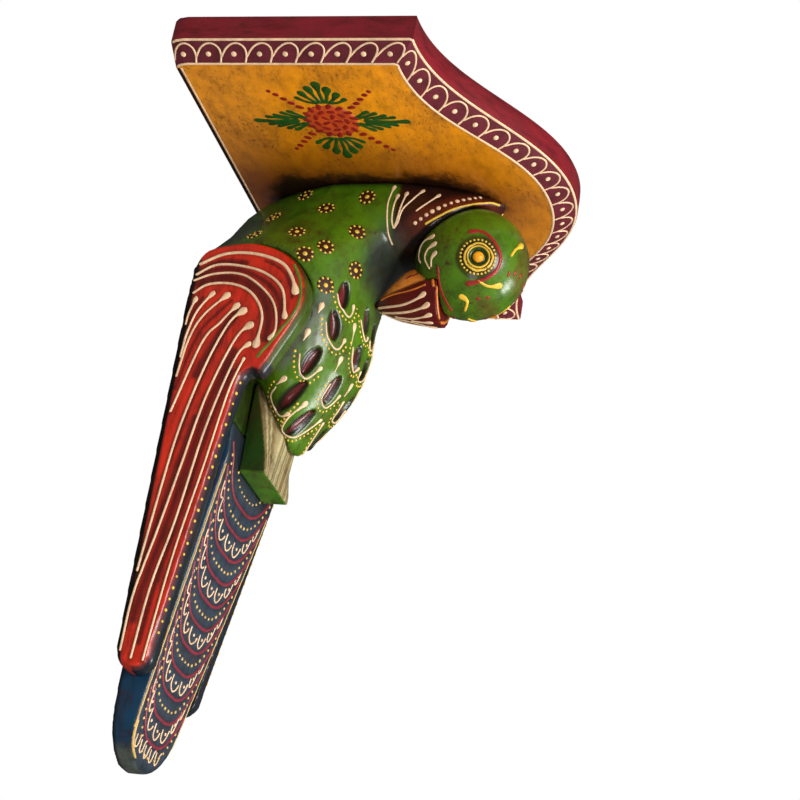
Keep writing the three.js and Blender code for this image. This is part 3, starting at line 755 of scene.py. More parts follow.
def paint_flower(side, red, dark, leaf):
    """A rosette with four leaf sprays and four trails of dabs, on the underside of the shelf."""

    def spot(x, out):
        return at(side * (FLOWER[0] + x), FLOWER[1] + out, SHELF_DROP)

    def dab(x, out, angle, long, wide, height):
        reach = Vector((math.cos(angle), math.sin(angle))) * long / 2
        ends = [spot(x - reach.x, out - reach.y), spot(x + reach.x, out + reach.y)]
        dark.stroke(ends, wide, wide * 0.6, height)

    red.dot(spot(0, 0), 13.2, 0.16)
    for count, radius, long, wide, turn in FLOWER_RINGS:
        for i in range(count):
            a = 2 * math.pi * (i + 0.3) / count
            dab(radius * math.cos(a), radius * math.sin(a), a + turn, long, wide, 0.3)
    # Sprays towards and away from the wall are long, with slanting barbs.
    for way in (-1, 1):
        leaf.stroke([spot(0, way * 15), spot(-0.6, way * 27), spot(0, way * 37)], 1.9, 1.5, 0.25)
        for out, x, reach in FLOWER_BARBS:
            for hand in (-1, 1):
                start = spot(hand * 1.6, way * (out - reach - 2.5))
                middle = spot(hand * x * 0.62, way * (out - 3.2))
                leaf.stroke([start, middle, spot(hand * x * 0.82, way * out)], 1.5, 1.0, 0.25)
    # Sprays to the sides are two rounded fans.
    for way in (-1, 1):
        for out, x, wide in FLOWER_BLADES:
            start = spot(way * 13.6, out * 0.25)
            middle = spot(way * (8 + x) / 1.75, out * 0.66)
            leaf.stroke([start, middle, spot(way * x, out)], wide, 1.0, 0.25, 2.2)
    for x_way in (-1, 1):
        for out_way in (-1, 1):
            for x, out, long in FLOWER_TRAIL:
                dab(x_way * x, out_way * out * 0.94, out_way * 1.2, long, 1.5, 0.25)


# ---------------------------------------------------------------- wings

# Paths on the outer face as (out, drop). The first four sweep from the back edge over the shoulder.
WING_ARCS = (
    ((2, 80), (14, 74), (28, 73.5), (41, 77.5), (47.5, 84.5), (51.5, 94)),
    ((1.5, 85.5), (10.5, 80), (22.5, 80), (35, 83.5), (44.5, 91.5), (48.5, 106.5)),
    ((1, 88.5), (11, 84.5), (24, 84.5), (35.5, 91.5), (42.5, 100), (45, 111), (42.5, 117)),
    ((2, 95), (9, 90), (20.5, 89.5), (30.5, 94), (37.5, 105), (37, 121)),
)
# The long quills, from their round heads down to the tip or the back edge.
WING_QUILLS = (
    ((4.5, 96.5), (2.5, 105.5), (2, 111)),
    ((12.5, 93.5), (6.5, 103.5), (3.5, 115), (2.5, 127)),
    ((20, 94), (10, 105.5), (5, 117), (2.5, 136.5)),
    ((25.5, 99), (18.5, 109), (11.5, 119.5), (3, 153.5)),
    ((29.5, 101.5), (22.5, 109.5), (15.5, 129.5), (9, 160), (6, 187), (2.5, 227.5)),
    ((34, 108.5), (27, 117), (18.5, 145), (13, 178.5), (8, 209), (3, 237), (2, 263)),
    ((34.5, 118), (28.5, 127), (21, 160), (15.5, 202.5), (10, 234), (7.5, 266)),
    ((33, 125.5), (28.5, 142), (23.5, 178), (17.5, 219), (13, 266.5)),
)
WING_QUILL_HEADS = (1.4, 1.5, 1.9, 1.8, 2.1, 2.0, 1.5, 0.9)
WING_GREEN_LINE = ((47.5, 78), (52.5, 88.5), (53, 100.5), (46.5, 113), (38.5, 125.5))
# Maroon areas lie between neighbouring paths: (path, path, share across, half-width, from, to).
WING_MAROON_AREAS = (
    (0, 1, 0.72, 1.5, 0.0, 0.4),
    (1, 2, 0.5, 1.4, 0.0, 0.62),
    (2, 3, 0.5, 2.4, 0.05, 0.95),
    (1, 2, 0.5, 1.4, 0.62, 0.98),
    (0, 1, 0.3, 0.9, 0.55, 0.97),
    (6, 7, 0.5, 1.0, 0.05, 0.95),
    (7, 8, 0.55, 1.9, 0.04, 0.4),
    (9, 10, 0.5, 2.1, 0.08, 0.9),
    (8, 9, 0.72, 1.5, 0.35, 1.0),
    (10, 11, 0.3, 1.6, 0.1, 0.95),
    (4, 5, 0.5, 1.0, 0.1, 0.9),
    (8, 9, 0.16, 0.9, 0.05, 0.6),
)
# The row of beads down the front edge, as (out, drop).
WING_BEADS = ((33.4, 137), (32, 146), (30.2, 158), (27.5, 180), (24.2, 206), (21, 230), (17.4, 258))
WING_X = 45  # how far the outer face stands from the middle at the top
WING_TAPER_START = 105  # the drop from which it leans inwards
WING_TAPER = 0.0624  # and how much it does so for each mm down
WING_WAIST = 131  # the drop above which the rim is warm


def wing_x(drop):
    """How far a wing's outer face stands from the middle."""
    return WING_X - max(0, drop - WING_TAPER_START) * WING_TAPER


def between(a, b, share, start, end):
    """A path in (out, drop) that runs a share of the way from path a to path b."""
    a, b = flowing(a, 0.8), flowing(b, 0.8)
    made = []
    for i in range(121):
        t = start + (end - start) * i / 120
        p, q = [path[min(int(t * (len(path) - 1)), len(path) - 1)] for path in (a, b)]
        made.append(p.lerp(q, share))
    return made


def colour_wing(made):
    """Red with maroon areas, painted shade along each stroke to come with a groove carved beside it,
    and a darker rim with painted shade on it.
    """
    surface = Surface(made, SCARLET)
    drop, out, side = surface.drop, surface.out, surface.side
    paths = [*WING_ARCS, *WING_QUILLS]
    for a, b, share, half, start, end in WING_MAROON_AREAS:
        near = distance(side, between(paths[a], paths[b], share, start, end))
        surface.colour(1 - rise(near, half * 0.3, half * 1.4), MAROON)
    for path in paths:
        near = distance(side, flowing(path, 1.0))
        # Painted shade along the stroke; the groove beside it is carved.
        surface.darken(0.6 * soft_band(near, 1.1))
        surface.depth += 0.28 * soft_band(near - 1.5, 0.7)
    face = np.abs(surface.normal[:, 0])
    rim = rise(1 - face, 0.3, 0.6)
    upper_rim = rim * (drop < WING_WAIST)
    surface.colour(upper_rim, WING_RIM)
    shoulder = rise(out, 40, 46) * rise(drop, 80, 88) * (1 - rise(face, 0.5, 0.72))
    surface.colour(upper_rim * shoulder, WING_SHOULDER)
    surface.colour(rim * (drop > 127) * (out > 8), WING_LOW_RIM)
    towards_tail = rise(-surface.normal[:, 0] * np.sign(surface.x), 0.2, 0.5)
    surface.colour(towards_tail * (drop > 140), WING_INSIDE)
    # Painted shade on the rim, over its dark red paint.
    surface.darken(0.25 * rim)
    surface.colour(1 - rise(out, 2.5, 3.0), BLACK)
    surface.finish()


def paint_wing(name, side, made, cream, green, yellow):
    """The cream arcs and quills, the green line over the shoulder and the row of beads."""
    canvas = Canvas(made)

    def spot(p):
        return at(side * wing_x(p[1]), p[0], p[1])

    strokes = Paint(f"{name}_wing_cream", canvas, cream, "yellow_paint")
    for path, head, slim in zip(WING_ARCS, (2.0, 1.5, 1.4, 2.0), (0.85, 0.7, 0.6, 0.68)):
        strokes.stroke([spot(p) for p in path], head, slim, 0.5, 2.6)
    for path, head in zip(WING_QUILLS, WING_QUILL_HEADS):
        slim = 0.6 if head > 1.4 else 0.52
        strokes.stroke([spot(p) for p in reversed(path)], head, slim, 0.5, 2.2)
    strokes.build()
    line = Paint(f"{name}_wing_green", canvas, green, "green_paint")
    line.stroke([spot(p) for p in WING_GREEN_LINE], 0.9, 0.8, 0.3)
    line.build()
    beads = Paint(f"{name}_wing_beads", canvas, yellow, "yellow_paint")
    beads.dots([at(side * (wing_x(d) - 1.6), o, d) for o, d in WING_BEADS], 0.75, 5.0)
    beads.build()


# ---------------------------------------------------------------- tail

TAIL_ARCH_STEP = 11.2
TAIL_FIRST_ARCH = 180.4
TAIL_FRONT = (31.2, 167)  # a point on the sloping front, as (out, drop)
TAIL_SLOPE = 0.1616  # how much the front comes in for each mm down
TAIL_HALF = (34, 152)  # half the tail's width, and the drop where it is that
TAIL_TAPER = 0.0777  # how much half the width shrinks for each mm down
ARCH_RISE = 20  # how much higher an arch is at its ends than in the middle
ARCH_POWER = 3.2
SCALES = 7  # small loops in one row
# One curl on the tip, as (x, height) from its lowest point.
CURL = ((-2.2, 5.5), (-1.6, 1.6), (0, 0), (1.6, 1.8), (2.0, 5.2), (3.2, 6.4))


def tail_front(x, drop):
    """A point on the sloping front of the tail."""
    return at(x, TAIL_FRONT[0] - (drop - TAIL_FRONT[1]) * TAIL_SLOPE, drop)


def tail_half(drop):
    """Half the tail's width."""
    return TAIL_HALF[0] - (drop - TAIL_HALF[1]) * TAIL_TAPER


def arch(bottom, inset=1.2):
    """A hanging arch across the tail with its lowest point at bottom, as (x, drop) points."""
    half = tail_half(bottom) - inset
    spots = []
    for i in range(-12, 13):
        t = i / 12
        drop = bottom - ARCH_RISE * abs(t) ** ARCH_POWER
        spots.append((t * min(half, tail_half(drop) - inset), drop))
    return spots


def colour_tail(made):
    """Slate on the front and blue on the sides, with painted shade at the top of the front,
    and darker along the arches to come.
    """
    surface = Surface(made, BLUE)
    front = rise(-surface.normal[:, 1], 0.35, 0.7)
    surface.colour(front, SLATE)
    surface.colour(rise(surface.drop, 296, 301) * (1 - front) * 0.6, TAIL_TIP)
    surface.darken(0.6 * rise(surface.normal[:, 1], 0.5, 0.8))
    surface.darken(0.85 * (1 - rise(surface.out, 0.8, 2.0)))
    # Painted shade at the top of the front, under the perch.
    surface.darken(0.5 * (1 - rise(surface.drop, 168, 178)) * front)
    climb = ARCH_RISE * (np.abs(surface.x) / tail_half(surface.drop)) ** ARCH_POWER
    number = (surface.drop - TAIL_FIRST_ARCH + climb) / TAIL_ARCH_STEP
    shade = 0.5 + 0.5 * np.cos(2 * math.pi * number)
    surface.darken(0.45 * front * shade**3)
    surface.finish()


def paint_tail(made, red, yellow, cream):
    """Red arches with rows of beads and rows of scales in turn between them."""
    canvas = Canvas(made)
    arches = Paint("tail_red_arches", canvas, red, "red_paint")
    beads = Paint("tail_beads", canvas, yellow, "yellow_paint")
    scales = Paint("tail_scallops", canvas, cream, "yellow_paint")
    beads.dots([tail_front(*p) for p in arch(TAIL_FIRST_ARCH - 5.5, 7.0)[4:-4]], 0.7, 3.9)
    for i in range(11):
        bottom = TAIL_FIRST_ARCH + i * TAIL_ARCH_STEP
        arches.stroke([tail_front(*p) for p in arch(bottom)], 0.95, 0.85, 0.4)
        if i % 2 == 0:
            beads.dots([tail_front(*p) for p in arch(bottom + 6.0, 2.4)], 0.8, 3.9)
        elif i < 10:
            row_of_scales(scales, bottom + TAIL_ARCH_STEP)
    tip_curls(scales)
    for side in (-1, 1):
        edge = [tail_front(side * (tail_half(d) - 0.8), d) for d in range(172, 296, 6)]
        beads.stroke(edge, 0.5, 0.45, 0.35)
    rounded = [tail_front(x, d) for x, d in ((-21.3, 288), (-20.2, 294), (-16.5, 299), (-10, 302))]
    beads.stroke(rounded, 0.5, 0.7, 0.35)
    for paint in (arches, beads, scales):
        paint.build()


def row_of_scales(paint, bottom):
    """Seven small hanging loops with a dot in each, just above the arch at bottom."""
    path = flowing(arch(bottom - 1.8, 3.0), 0.5)
    for i in range(SCALES):
        a, b, c = [path[int((i + part) / SCALES * (len(path) - 1))] for part in (0.08, 0.92, 0.5)]
        loop = [
            (a.x + (c.x - a.x) * 0.1, a.y - 6.8),
            (a.x + (c.x - a.x) * 0.25, (a.y + c.y) / 2 - 2.2),
            (c.x, c.y - 0.3),
            (b.x - (b.x - c.x) * 0.3, (b.y + c.y) / 2 - 2.0),
            (b.x, b.y - 4.6),
        ]
        paint.stroke([tail_front(*p) for p in loop], 0.52, 0.44, 0.35)
        paint.dot(tail_front(c.x + 0.3, c.y - 4.4), 0.85, 0.45)


def tip_curls(paint):
    """Small upright curls along the bottom of the tail's front."""
    for x in (-15, -9, -3, 3.5, 10):
        low = 300.0 - abs(x) * 0.12
        paint.stroke([tail_front(x + across, low - up) for across, up in CURL], 0.5, 0.4, 0.35)


# ---------------------------------------------------------------- body

# Carved drops on the breast: centre, upper end, and lower end, as (x from the middle, out, drop).
BREAST_DROPS = (
    ((25, 66.5, 82.5), (25.5, 66.5, 77.5), (24.5, 67, 88)),
    ((25.5, 65.5, 99), (27, 64, 93), (24, 65.5, 104)),
    ((26.5, 57.5, 117.5), (26, 60, 112), (25.5, 55, 123)),
    ((22, 50, 133.5), (22.5, 55.5, 127), (17, 43, 138)),
    ((10.5, 65, 123.5), (11, 67.5, 118.5), (9, 62, 129)),
    ((11, 53, 141.5), (10, 57.5, 135.5), (11, 47.5, 146.5)),
    ((6.5, 72.5, 105), (7, 73, 100), (4.5, 71, 110)),
    ((6.5, 73.5, 86), (7, 73, 80.5), (5.5, 73.5, 91)),
)
# The cream loop round the lower end of each drop.
BREAST_LOOPS = (
    ((28.5, 64.5, 83.5), (25.5, 66.5, 88.5), (21, 69, 91.5), (19, 70, 88.5), (19, 70, 84)),
    ((29, 62, 98.5), (26.5, 63, 104.5), (22.5, 65.5, 108), (20, 67.5, 107.5), (18.5, 69, 101.5)),
    ((30, 53, 115.5), (27.5, 53, 121), (25, 54.5, 124.5), (23, 56.5, 124.5), (22, 62, 118)),
    ((24.5, 43, 130), (20, 39.5, 133), (17, 42, 138), (16.5, 45, 141), (17.5, 49.5, 139.5)),
    ((13.5, 64.5, 122), (13, 61.5, 128.5), (10, 61, 130.5), (5.5, 62, 130.5), (3, 66.5, 122.5)),
    ((17, 54, 135.5), (16, 48, 142), (11.5, 45, 146), (8.5, 50, 147.5), (5, 54, 142.5), (1.5, 59.5, 134.5)),
    ((13, 71.5, 102.5), (10, 71, 108.5), (4.5, 71, 111), (1.5, 72, 107.5)),
    ((12.5, 72.5, 88), (8.5, 73.5, 93), (4, 73.5, 95), (1.5, 74, 91.5)),
)
# Short cream strokes from the wide end to the point.
BREAST_TEARS = (
    ((32, 60, 90.5), (32, 58.5, 96)),
    ((32, 56, 104), (31.5, 54, 110)),
    ((27, 48, 126), (25, 43, 129.5)),
    ((16.5, 56.5, 133), (16.5, 52, 138)),
    ((16.5, 68.5, 109.5), (16, 66, 118)),
    ((16, 71, 92), (14.5, 71, 103)),
    ((0, 70.5, 115), (0, 67.5, 122)),
)
NECK_ROSETTES = (
    (14.5, 34, 24),
    (23.5, 49, 36),
    (21, 67, 28),
    (18, 22, 38.5),
    (32, 20, 56),
    (36, 42, 56),
    (39.5, 49.5, 69.5),
    (35, 57, 63),
    (25.5, 67, 49.5),
    (23, 69, 68.5),
    (33, 60, 82),
)
# The fan of strokes on the side of the neck, from the low end to the round upper end.
NECK_FAN = (
    ((13.5, 81, 49), (18, 79.5, 45.5), (21.5, 78.5, 38.5), (22, 78, 30.5), (19.5, 79, 20.5)),
    ((19, 82, 43.5), (20.5, 81, 40.5), (22, 81, 33.5), (21, 82, 26)),
    ((19, 82, 43.5), (21, 83.5, 39.5), (22, 84.5, 33.5), (20.5, 86, 24.5)),
    ((19, 82, 43.5), (20.5, 84, 40.5), (22, 85.5, 35), (21.5, 89.5, 29), (19, 93.5, 22.5)),
    ((21.5, 92, 35.5), (21.5, 98, 29.5), (19, 101.5, 24.5)),
)
# The collar's painted edge and the row of dots behind it, from low on the neck to the shelf.
COLLAR_EDGE = (
    (19.5, 96.7, 41.1),
    (20.6, 102.2, 37.8),
    (19.8, 110.2, 32.3),
    (15.6, 117.8, 27.3),
    (9.5, 123.0, 22.8),
    (3.6, 126.2, 20.6),
)
COLLAR_DOTS = (
    (19.9, 92.0, 40.9),
    (21.4, 98.3, 36.2),
    (20.7, 105.0, 31.4),
    (18.0, 111.4, 26.9),
    (12.9, 117.2, 22.6),
    (8.8, 119.4, 20.2),
)
COLLAR_ANGLE = 0.969  # the collar's plane, as the angle of its normal from straight out


def collar_run(out, drop):
    """How far along the neck a point is, measured square to the collar."""
    return out * math.cos(COLLAR_ANGLE) + drop * math.sin(COLLAR_ANGLE)


def carve_drop(surface, centre, top, end, side):
    """A pointed hollow with a maroon heart and a dark rim."""
    spots = [Vector((p[0] * side, p[1], p[2])) for p in (top, centre, end)]
    path = flowing(spots, 0.6)
    best = np.full(len(surface.x), FAR)
    for i, spot in enumerate(path):
        t = i / (len(path) - 1)
        half = 0.8 + 2.5 * math.sin(math.pi * min(1, 0.08 + 0.86 * t)) ** 0.8
        best = np.minimum(best, distance(surface.place, [spot]) / half)
    hollow = 1 - rise(best, 0.25, 1.15)
    surface.depth += 1.9 * hollow
    surface.colour(1 - rise(best, 0.8, 1.25), DROP_RIM)
    surface.colour(1 - rise(best, 0.3, 0.62), DROP_HEART)
    surface.darken(0.6 * soft_band(best - 0.95, 0.22))


def colour_body(made):
    """Green, with the carved drops, the brown neck and collar, painted shade in the throat, the joints
    and the corners, and a scraped strip beside the wing that is partly a painted highlight.
    """
    surface = Surface(made, GREEN)
    x, out, drop = np.abs(surface.x), surface.out, surface.drop
    surface.colour(rise(30 - out, 0, 26) * 0.45, DEEP_GREEN)
    for _, side in SIDES:
        for centre, top, end in BREAST_DROPS:
            carve_drop(surface, centre, top, end, side)
    run = collar_run(out, drop)
    brown = rise(out, 80.5, 83) * (1 - rise(drop, 45, 50)) * rise(x, 0, 1)
    surface.colour(brown, NECK_BROWN)
    surface.colour(rise(run, 80, 84) * rise(out, 80, 84), COLLAR_BROWN)
    # Painted shade in the joint under the head.
    surface.darken(rise(run, 89.0, 89.6) * rise(out, 80, 84) * 0.95)
    # Painted shade in the throat between the neck and the breast, at the joint with the shelf,
    # in the corner by the wall under the shelf, and low down near the wall.
    throat = np.exp(-(((out - 80) / 9) ** 2 + ((drop - 60) / 15) ** 2)) * (1 - rise(x, 17, 25))
    # The throat's grey-green is painted shade too.
    surface.colour(throat * 1.6, THROAT_SHADE)
    surface.darken(0.7 * throat)
    surface.darken(0.9 * (1 - rise(drop, 18, 23.5)))
    surface.darken(0.5 * (1 - rise(out, 1, 10)) * (1 - rise(drop, 60, 80)))
    surface.darken(0.75 * rise(drop, 112, 122) * (1 - rise(out, 31, 36)))
    # The scraped strip beside the wing: pale partly from wear and partly as a painted highlight,
    # and a little darker.
    scrape = [(61 - i * 0.62, 86 + i * 1.5) for i in range(26)]
    strip = soft_band(distance(surface.side, scrape), 3.2) * rise(x, 27, 31)
    surface.colour(strip, SCRAPE_AND_HIGHLIGHT)
    surface.darken(0.3 * strip)
    at_wall = 1 - rise(out, 0.6, 1.4)
    surface.darken(0.97 * at_wall)
    surface.colour(at_wall, BLACK)
    surface.finish()


def paint_body(made, cream, yellow, brown):
    """The loops, tears, fans and rosettes of the breast and neck, and the collar."""
    canvas = Canvas(made)
    strokes = Paint("body_cream", canvas, cream, "yellow_paint")
    beads = Paint("body_beads", canvas, yellow, "yellow_paint")
    grounds = Paint("body_rosette_grounds", canvas, brown, "maroon_paint")
    lines = Paint("collar_line", canvas, yellow, "yellow_paint")
    for _, side in SIDES:
        for loop in BREAST_LOOPS:
            spots = mirrored(side, loop)
            strokes.stroke(spots, 1.15, 0.5, 0.42, 2.0)
            ring_of_beads(beads, spots)
        for wide, point in BREAST_TEARS:
            strokes.stroke(mirrored(side, (point, wide)), 1.45, 0.3, 0.45, 3.0)
        for fan in NECK_FAN:
            strokes.stroke(mirrored(side, fan), 1.15, 0.48, 0.42, 2.6)
        for centre in mirrored(side, NECK_ROSETTES):
            rosette(grounds, beads, canvas, centre)
        lines.stroke(mirrored(side, COLLAR_EDGE), 0.75, 0.6, 0.4)
        strokes.dots(mirrored(side, COLLAR_DOTS), 1.1, 3.1)
    for paint in (strokes, beads, grounds, lines):
        paint.build()


def ring_of_beads(beads, loop):
    """Dots just outside a loop."""
    middle = (loop[0] + loop[-1]) / 2
    outside = [point + (point - middle).normalized() * 2.5 for point in flowing(loop, 1.0)]
    beads.dots(outside[::3], 0.62, 2.3, 0.35)


def rosette(ground, beads, canvas, centre):
    """A ring of dots round a larger one, on a dark disc."""
    spot, normal = canvas.touch(centre)
    ground.dot(spot, 4.6, 0.1)
    beads.dot(spot, 1.25, 0.5)
    for place in circle(spot, normal, 3.5, 9, random.random()):
        beads.dot(place, 0.66, 0.4)


# ---------------------------------------------------------------- head

# Places and paths on the right side of the head, as (x from the middle, out, drop).
EYE = (22.1, 125.3, 58.8)  # the middle of the painted rings
EYEBALL = (21.6, 125.3, 58.6)
HEAD_ARCS = (
    ((14.3, 96.5, 58.8), (13.6, 94.8, 54.7), (15.6, 96.2, 48.9), (20.4, 102.7, 47.3)),
    ((16.9, 102.1, 63.2), (17.0, 98.9, 57.6), (18.8, 100.1, 53.9), (21.5, 104.6, 51.6)),
    ((17.6, 102.7, 62.6), (19.5, 102.9, 58.4), (21.2, 105.3, 56.2)),
)
HEAD_ARC_WIDTHS = (1.6, 1.5, 1.4)
HEAD_COMMAS = (
    ((3.4, 118.0, 77.2), (9.4, 119.9, 75.2), (12.3, 116.5, 73.8)),
    ((17.6, 126.0, 69.0), (13.1, 129.6, 69.1), (9.4, 135.0, 66.2)),
    ((13.9, 138.2, 53.6), (12.2, 139.6, 48.9), (7.3, 141.2, 43.8)),
)
HEAD_BROW = (
    (23.7, 119.7, 48.3),
    (22.6, 125.0, 47.2),
    (20.9, 129.9, 50.0),
    (18.1, 133.6, 56.1),
    (16.7, 132.2, 62.4),
    (16.7, 126.7, 67.0),
    (17.1, 120.5, 69.0),
)
HEAD_DASHES = (
    ((9.6, 124.0, 74.1), (9.4, 126.0, 73.6)),
    ((8.5, 128.3, 72.8), (8.3, 130.2, 72.2)),
    ((11.4, 138.2, 60.0), (10.8, 137.6, 62.6)),
    ((8.8, 140.3, 58.5), (8.6, 139.8, 61.0)),
    ((4.6, 142.0, 57.0), (4.5, 141.4, 60.0)),
)
HEAD_SEAM = ((19.3, 106.4, 62.9), (14.1, 107.4, 70.4), (8.3, 109.7, 74.9), (2.8, 111.6, 77.0))
# The turned eye from its middle outwards, as (radius, height, colour).
EYE_PROFILE = (
    (0.02, 1.3, BEAD),
    (1.2, 1.15, BEAD),
    (2.1, 0.6, BEAD),
    (2.5, -0.1, BEAD),
    (2.7, -0.7, DEEP_GREEN),
    (3.6, -0.7, DEEP_GREEN),
    (4.5, -0.1, EYE_HOLLOW),
    (4.8, 0.4, YELLOW),
    (5.1, 0.5, YELLOW),
    (5.35, 0.2, YELLOW),
    (5.35, -3.5, MAROON),
)
# Paths on the right side of the upper beak.
BEAK_STROKES = (
    ((1.3, 76.0, 75.9), (7.2, 88.4, 77.2), (10.7, 96.1, 75.7), (13.0, 101.0, 73.2)),
    ((0.4, 77.9, 77.6), (5.4, 90.8, 79.8), (8.8, 98.6, 79.3), (11.0, 103.0, 77.7)),
    ((0.6, 84.0, 80.2), (1.6, 92.4, 81.2), (4.3, 98.9, 81.5), (6.7, 103.6, 81.0)),
)
BEAK_EDGE = ((5.0, 76.0, 73.2), (6.5, 82.5, 71.8), (11.1, 93.1, 71.3), (13.8, 100.6, 69.5))
BEAK_BASE = ((14.6, 103.6, 66.8), (12.6, 105.4, 72.8), (7.6, 105.8, 77.6), (1.5, 105.8, 80.8))
LOWER_BEAK_DABS = ((9.0, 90.0, 62.6), (10.0, 93.5, 61.6), (9.5, 97.0, 60.8))
# The lower beak is made fuller above a line in side view. BEAK_ROOT is how far out the line starts,
# and then come its drop there and how much that grows for each mm towards the tip.
BEAK_ROOT = 101
BEAK_LINE_DROP = 65.6
BEAK_LINE_SLOPE = 0.248


def eye_axis(side):
    """The way an eye looks."""
    return Vector((side * 0.93, -0.27, -0.2)).normalized()


def colour_head(made):
    """Green, with brown low on the face and at its front, olive with a dark ring round each eye,
    and painted shade where it meets the neck.
    """
    surface = Surface(made, GREEN)
    x, out, drop = np.abs(surface.x), surface.out, surface.drop
    run = collar_run(out, drop)
    # Painted shade in the joint with the neck.
    surface.darken(0.9 * (1 - rise(run, 90, 92)))
    low = rise(drop, 71, 75) * rise(out, 121, 128) * (1 - rise(x, 12, 17))
    surface.colour(low * 0.45, FACE_LOW)
    surface.colour(rise(out, 136, 141) * (1 - rise(x, 8, 13)) * 0.45, FACE_FRONT)
    # Painted shade low on the back of the head, over the neck.
    surface.darken(0.5 * (1 - rise(out, 95, 101)) * (drop > 40))
    for _, side in SIDES:
        away = distance(surface.place, [(EYE[0] * side, EYE[1], EYE[2])])
        surface.colour(1 - rise(away, 10, 11), EYE_GREEN)
        surface.darken(0.55 * soft_band(away - 7.4, 0.8))
    surface.finish()


def paint_head(made, cream, yellow, red, gold):
    """The brow, dashes, arcs and commas of the face, and the rings round the eyes."""
    canvas = Canvas(made)
    reds = Paint("head_red", canvas, red, "red_paint")
    creams = Paint("head_cream", canvas, cream, "yellow_paint")
    beads = Paint("head_eye_beads", canvas, yellow, "yellow_paint")
    golds = Paint("head_gold", canvas, gold, "yellow_paint")
    for _, side in SIDES:
        centre = at(EYE[0] * side, EYE[1], EYE[2])
        widened = [centre + (p - centre) * 1.12 for p in mirrored(side, HEAD_BROW)]
        reds.stroke(widened, 1.35, 0.95, 0.4, 3.0, both=True)
        reds.stroke(mirrored(side, HEAD_SEAM), 0.9, 0.7, 0.3)
        for dash in HEAD_DASHES:
            reds.stroke(mirrored(side, dash), 0.8, 0.7, 0.35)
        for path, wide in zip(HEAD_ARCS, HEAD_ARC_WIDTHS):
            creams.stroke(mirrored(side, path), wide, 0.5, 0.42, 3.0)
        for path in HEAD_COMMAS:
            golds.stroke(mirrored(side, path), 1.6, 0.7, 0.5, 3.0)
        for place in circle(centre, eye_axis(side), 8.5, 28):
            beads.dot(place, 0.62, 0.45)
        ring = circle(centre, eye_axis(side), 5.9, 24)
        beads.stroke([*ring, ring[0]], 0.8, 0.8, 0.5)
    for paint in (reds, creams, beads, golds):
        paint.build()


def make_eye(name, side, material):
    """A turned eye: raised yellow rim, dark hollow and an orange bead."""
    around = 40
    centre = at(EYEBALL[0] * side, EYEBALL[1], EYEBALL[2])
    profile = [(radius, height) for radius, height, _ in EYE_PROFILE]
    verts, faces = turned(profile, centre, eye_axis(side), around)
    made = add_object(f"{name}_eyeball", verts, faces, [material])
    colours = [linear(colour) for _, _, colour in EYE_PROFILE for _ in range(around)]
    store_paint(made.data, colours, np.zeros(len(colours)))
    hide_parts(f"{name}_eye")


def paint_beak(upper, lower, cream, gold, red):
    """The cream strokes and gold edges of the upper beak and the red dabs of the lower one."""
    canvas = Canvas(upper)
    creams = Paint("beak_cream", canvas, cream, "yellow_paint")
    golds = Paint("beak_gold", canvas, gold, "orange_paint")
    for _, side in SIDES:
        for path in BEAK_STROKES:
            creams.stroke(mirrored(side, path), 1.45, 0.65, 0.45, 3.0)
        golds.stroke(mirrored(side, BEAK_EDGE), 0.6, 0.5, 0.35)
        golds.stroke(mirrored(side, BEAK_BASE), 0.85, 0.85, 0.45)
    creams.stroke([at(0, 92, 82), at(0, 103.0, 82.3)], 1.4, 0.6, 0.45, 3.0)
    creams.build()
    golds.build()
    dabs = Paint("lower_beak_dashes", Canvas(lower), red, "red_paint")
    for _, side in SIDES:
        for x, out, drop in LOWER_BEAK_DABS:
            ends = mirrored(side, ((x, out - 1.8, drop + 1.0), (x, out + 1.8, drop - 0.6)))
            dabs.stroke(ends, 0.7, 0.6, 0.3)
    dabs.build()


def colour_perch(made):
    """Green sides and bottom, and a streaked brown and cream front."""
    surface = Surface(made, PERCH_SIDE)
    front = rise(-surface.normal[:, 1], 0.3, 0.6)
    surface.colour(rise(-surface.normal[:, 2], 0.5, 0.8), PERCH_FOOT)
    waver = np.sin(surface.x * 0.83) * 2.2
    streaks = 0.5 + 0.5 * np.sin(surface.x * 1.9 + waver + surface.drop * 0.02)
    surface.colour(front, PERCH_FRONT)
    surface.colour(front * streaks**2 * 0.85, PERCH_STREAK)
    # Painted shade at the top of the front, under the belly.
    surface.darken(0.55 * (1 - rise(surface.drop, 124, 140)) * front)
    surface.finish()


def swell_lower_beak(made):
    """Makes the lower beak fuller towards the throat, as it is carved."""
    for vertex in made.data.vertices:
        out = -vertex.co.y / MM
        line = BEAK_LINE_DROP + (BEAK_ROOT - out) * BEAK_LINE_SLOPE
        away = max(0, line - SHELF_TOP + vertex.co.z / MM)
        vertex.co.z += 0.75 * away * MM * float(rise(BEAK_ROOT - out, 0, 12))


def colour_beak(made, colour, top):
    """One colour with another on the upper faces, darker towards the tip."""
    surface = Surface(made, colour)
    surface.colour(rise(surface.normal[:, 2], 0.3, 0.8) * 0.7, top)
    surface.darken(0.5 * (1 - rise(surface.out, 74, 86)))
    surface.finish()


# ---------------------------------------------------------------- scene

# The camera's place in metres, the way it looks and roughly which way is up in its picture.
CAMERA_PLACE = Vector((-0.8454, -0.3642, -0.4382))
CAMERA_FORWARD = Vector((0.866, 0.277, 0.416))
CAMERA_UP = Vector((-0.4442, 0.0446, 0.8953))
CAMERA_LENS = 96.8


def area_light(name, place, target, size, power):
    light = bpy.data.lights.new(name, "AREA")
    light.shape = "DISK"
    light.size = size
    light.energy = power
    made = bpy.data.objects.new(name, light)
    made.location = place
    made.rotation_mode = "QUATERNION"
    made.rotation_quaternion = (Vector(target) - Vector(place)).to_track_quat("-Z", "Y")
    bpy.context.scene.collection.objects.link(made)


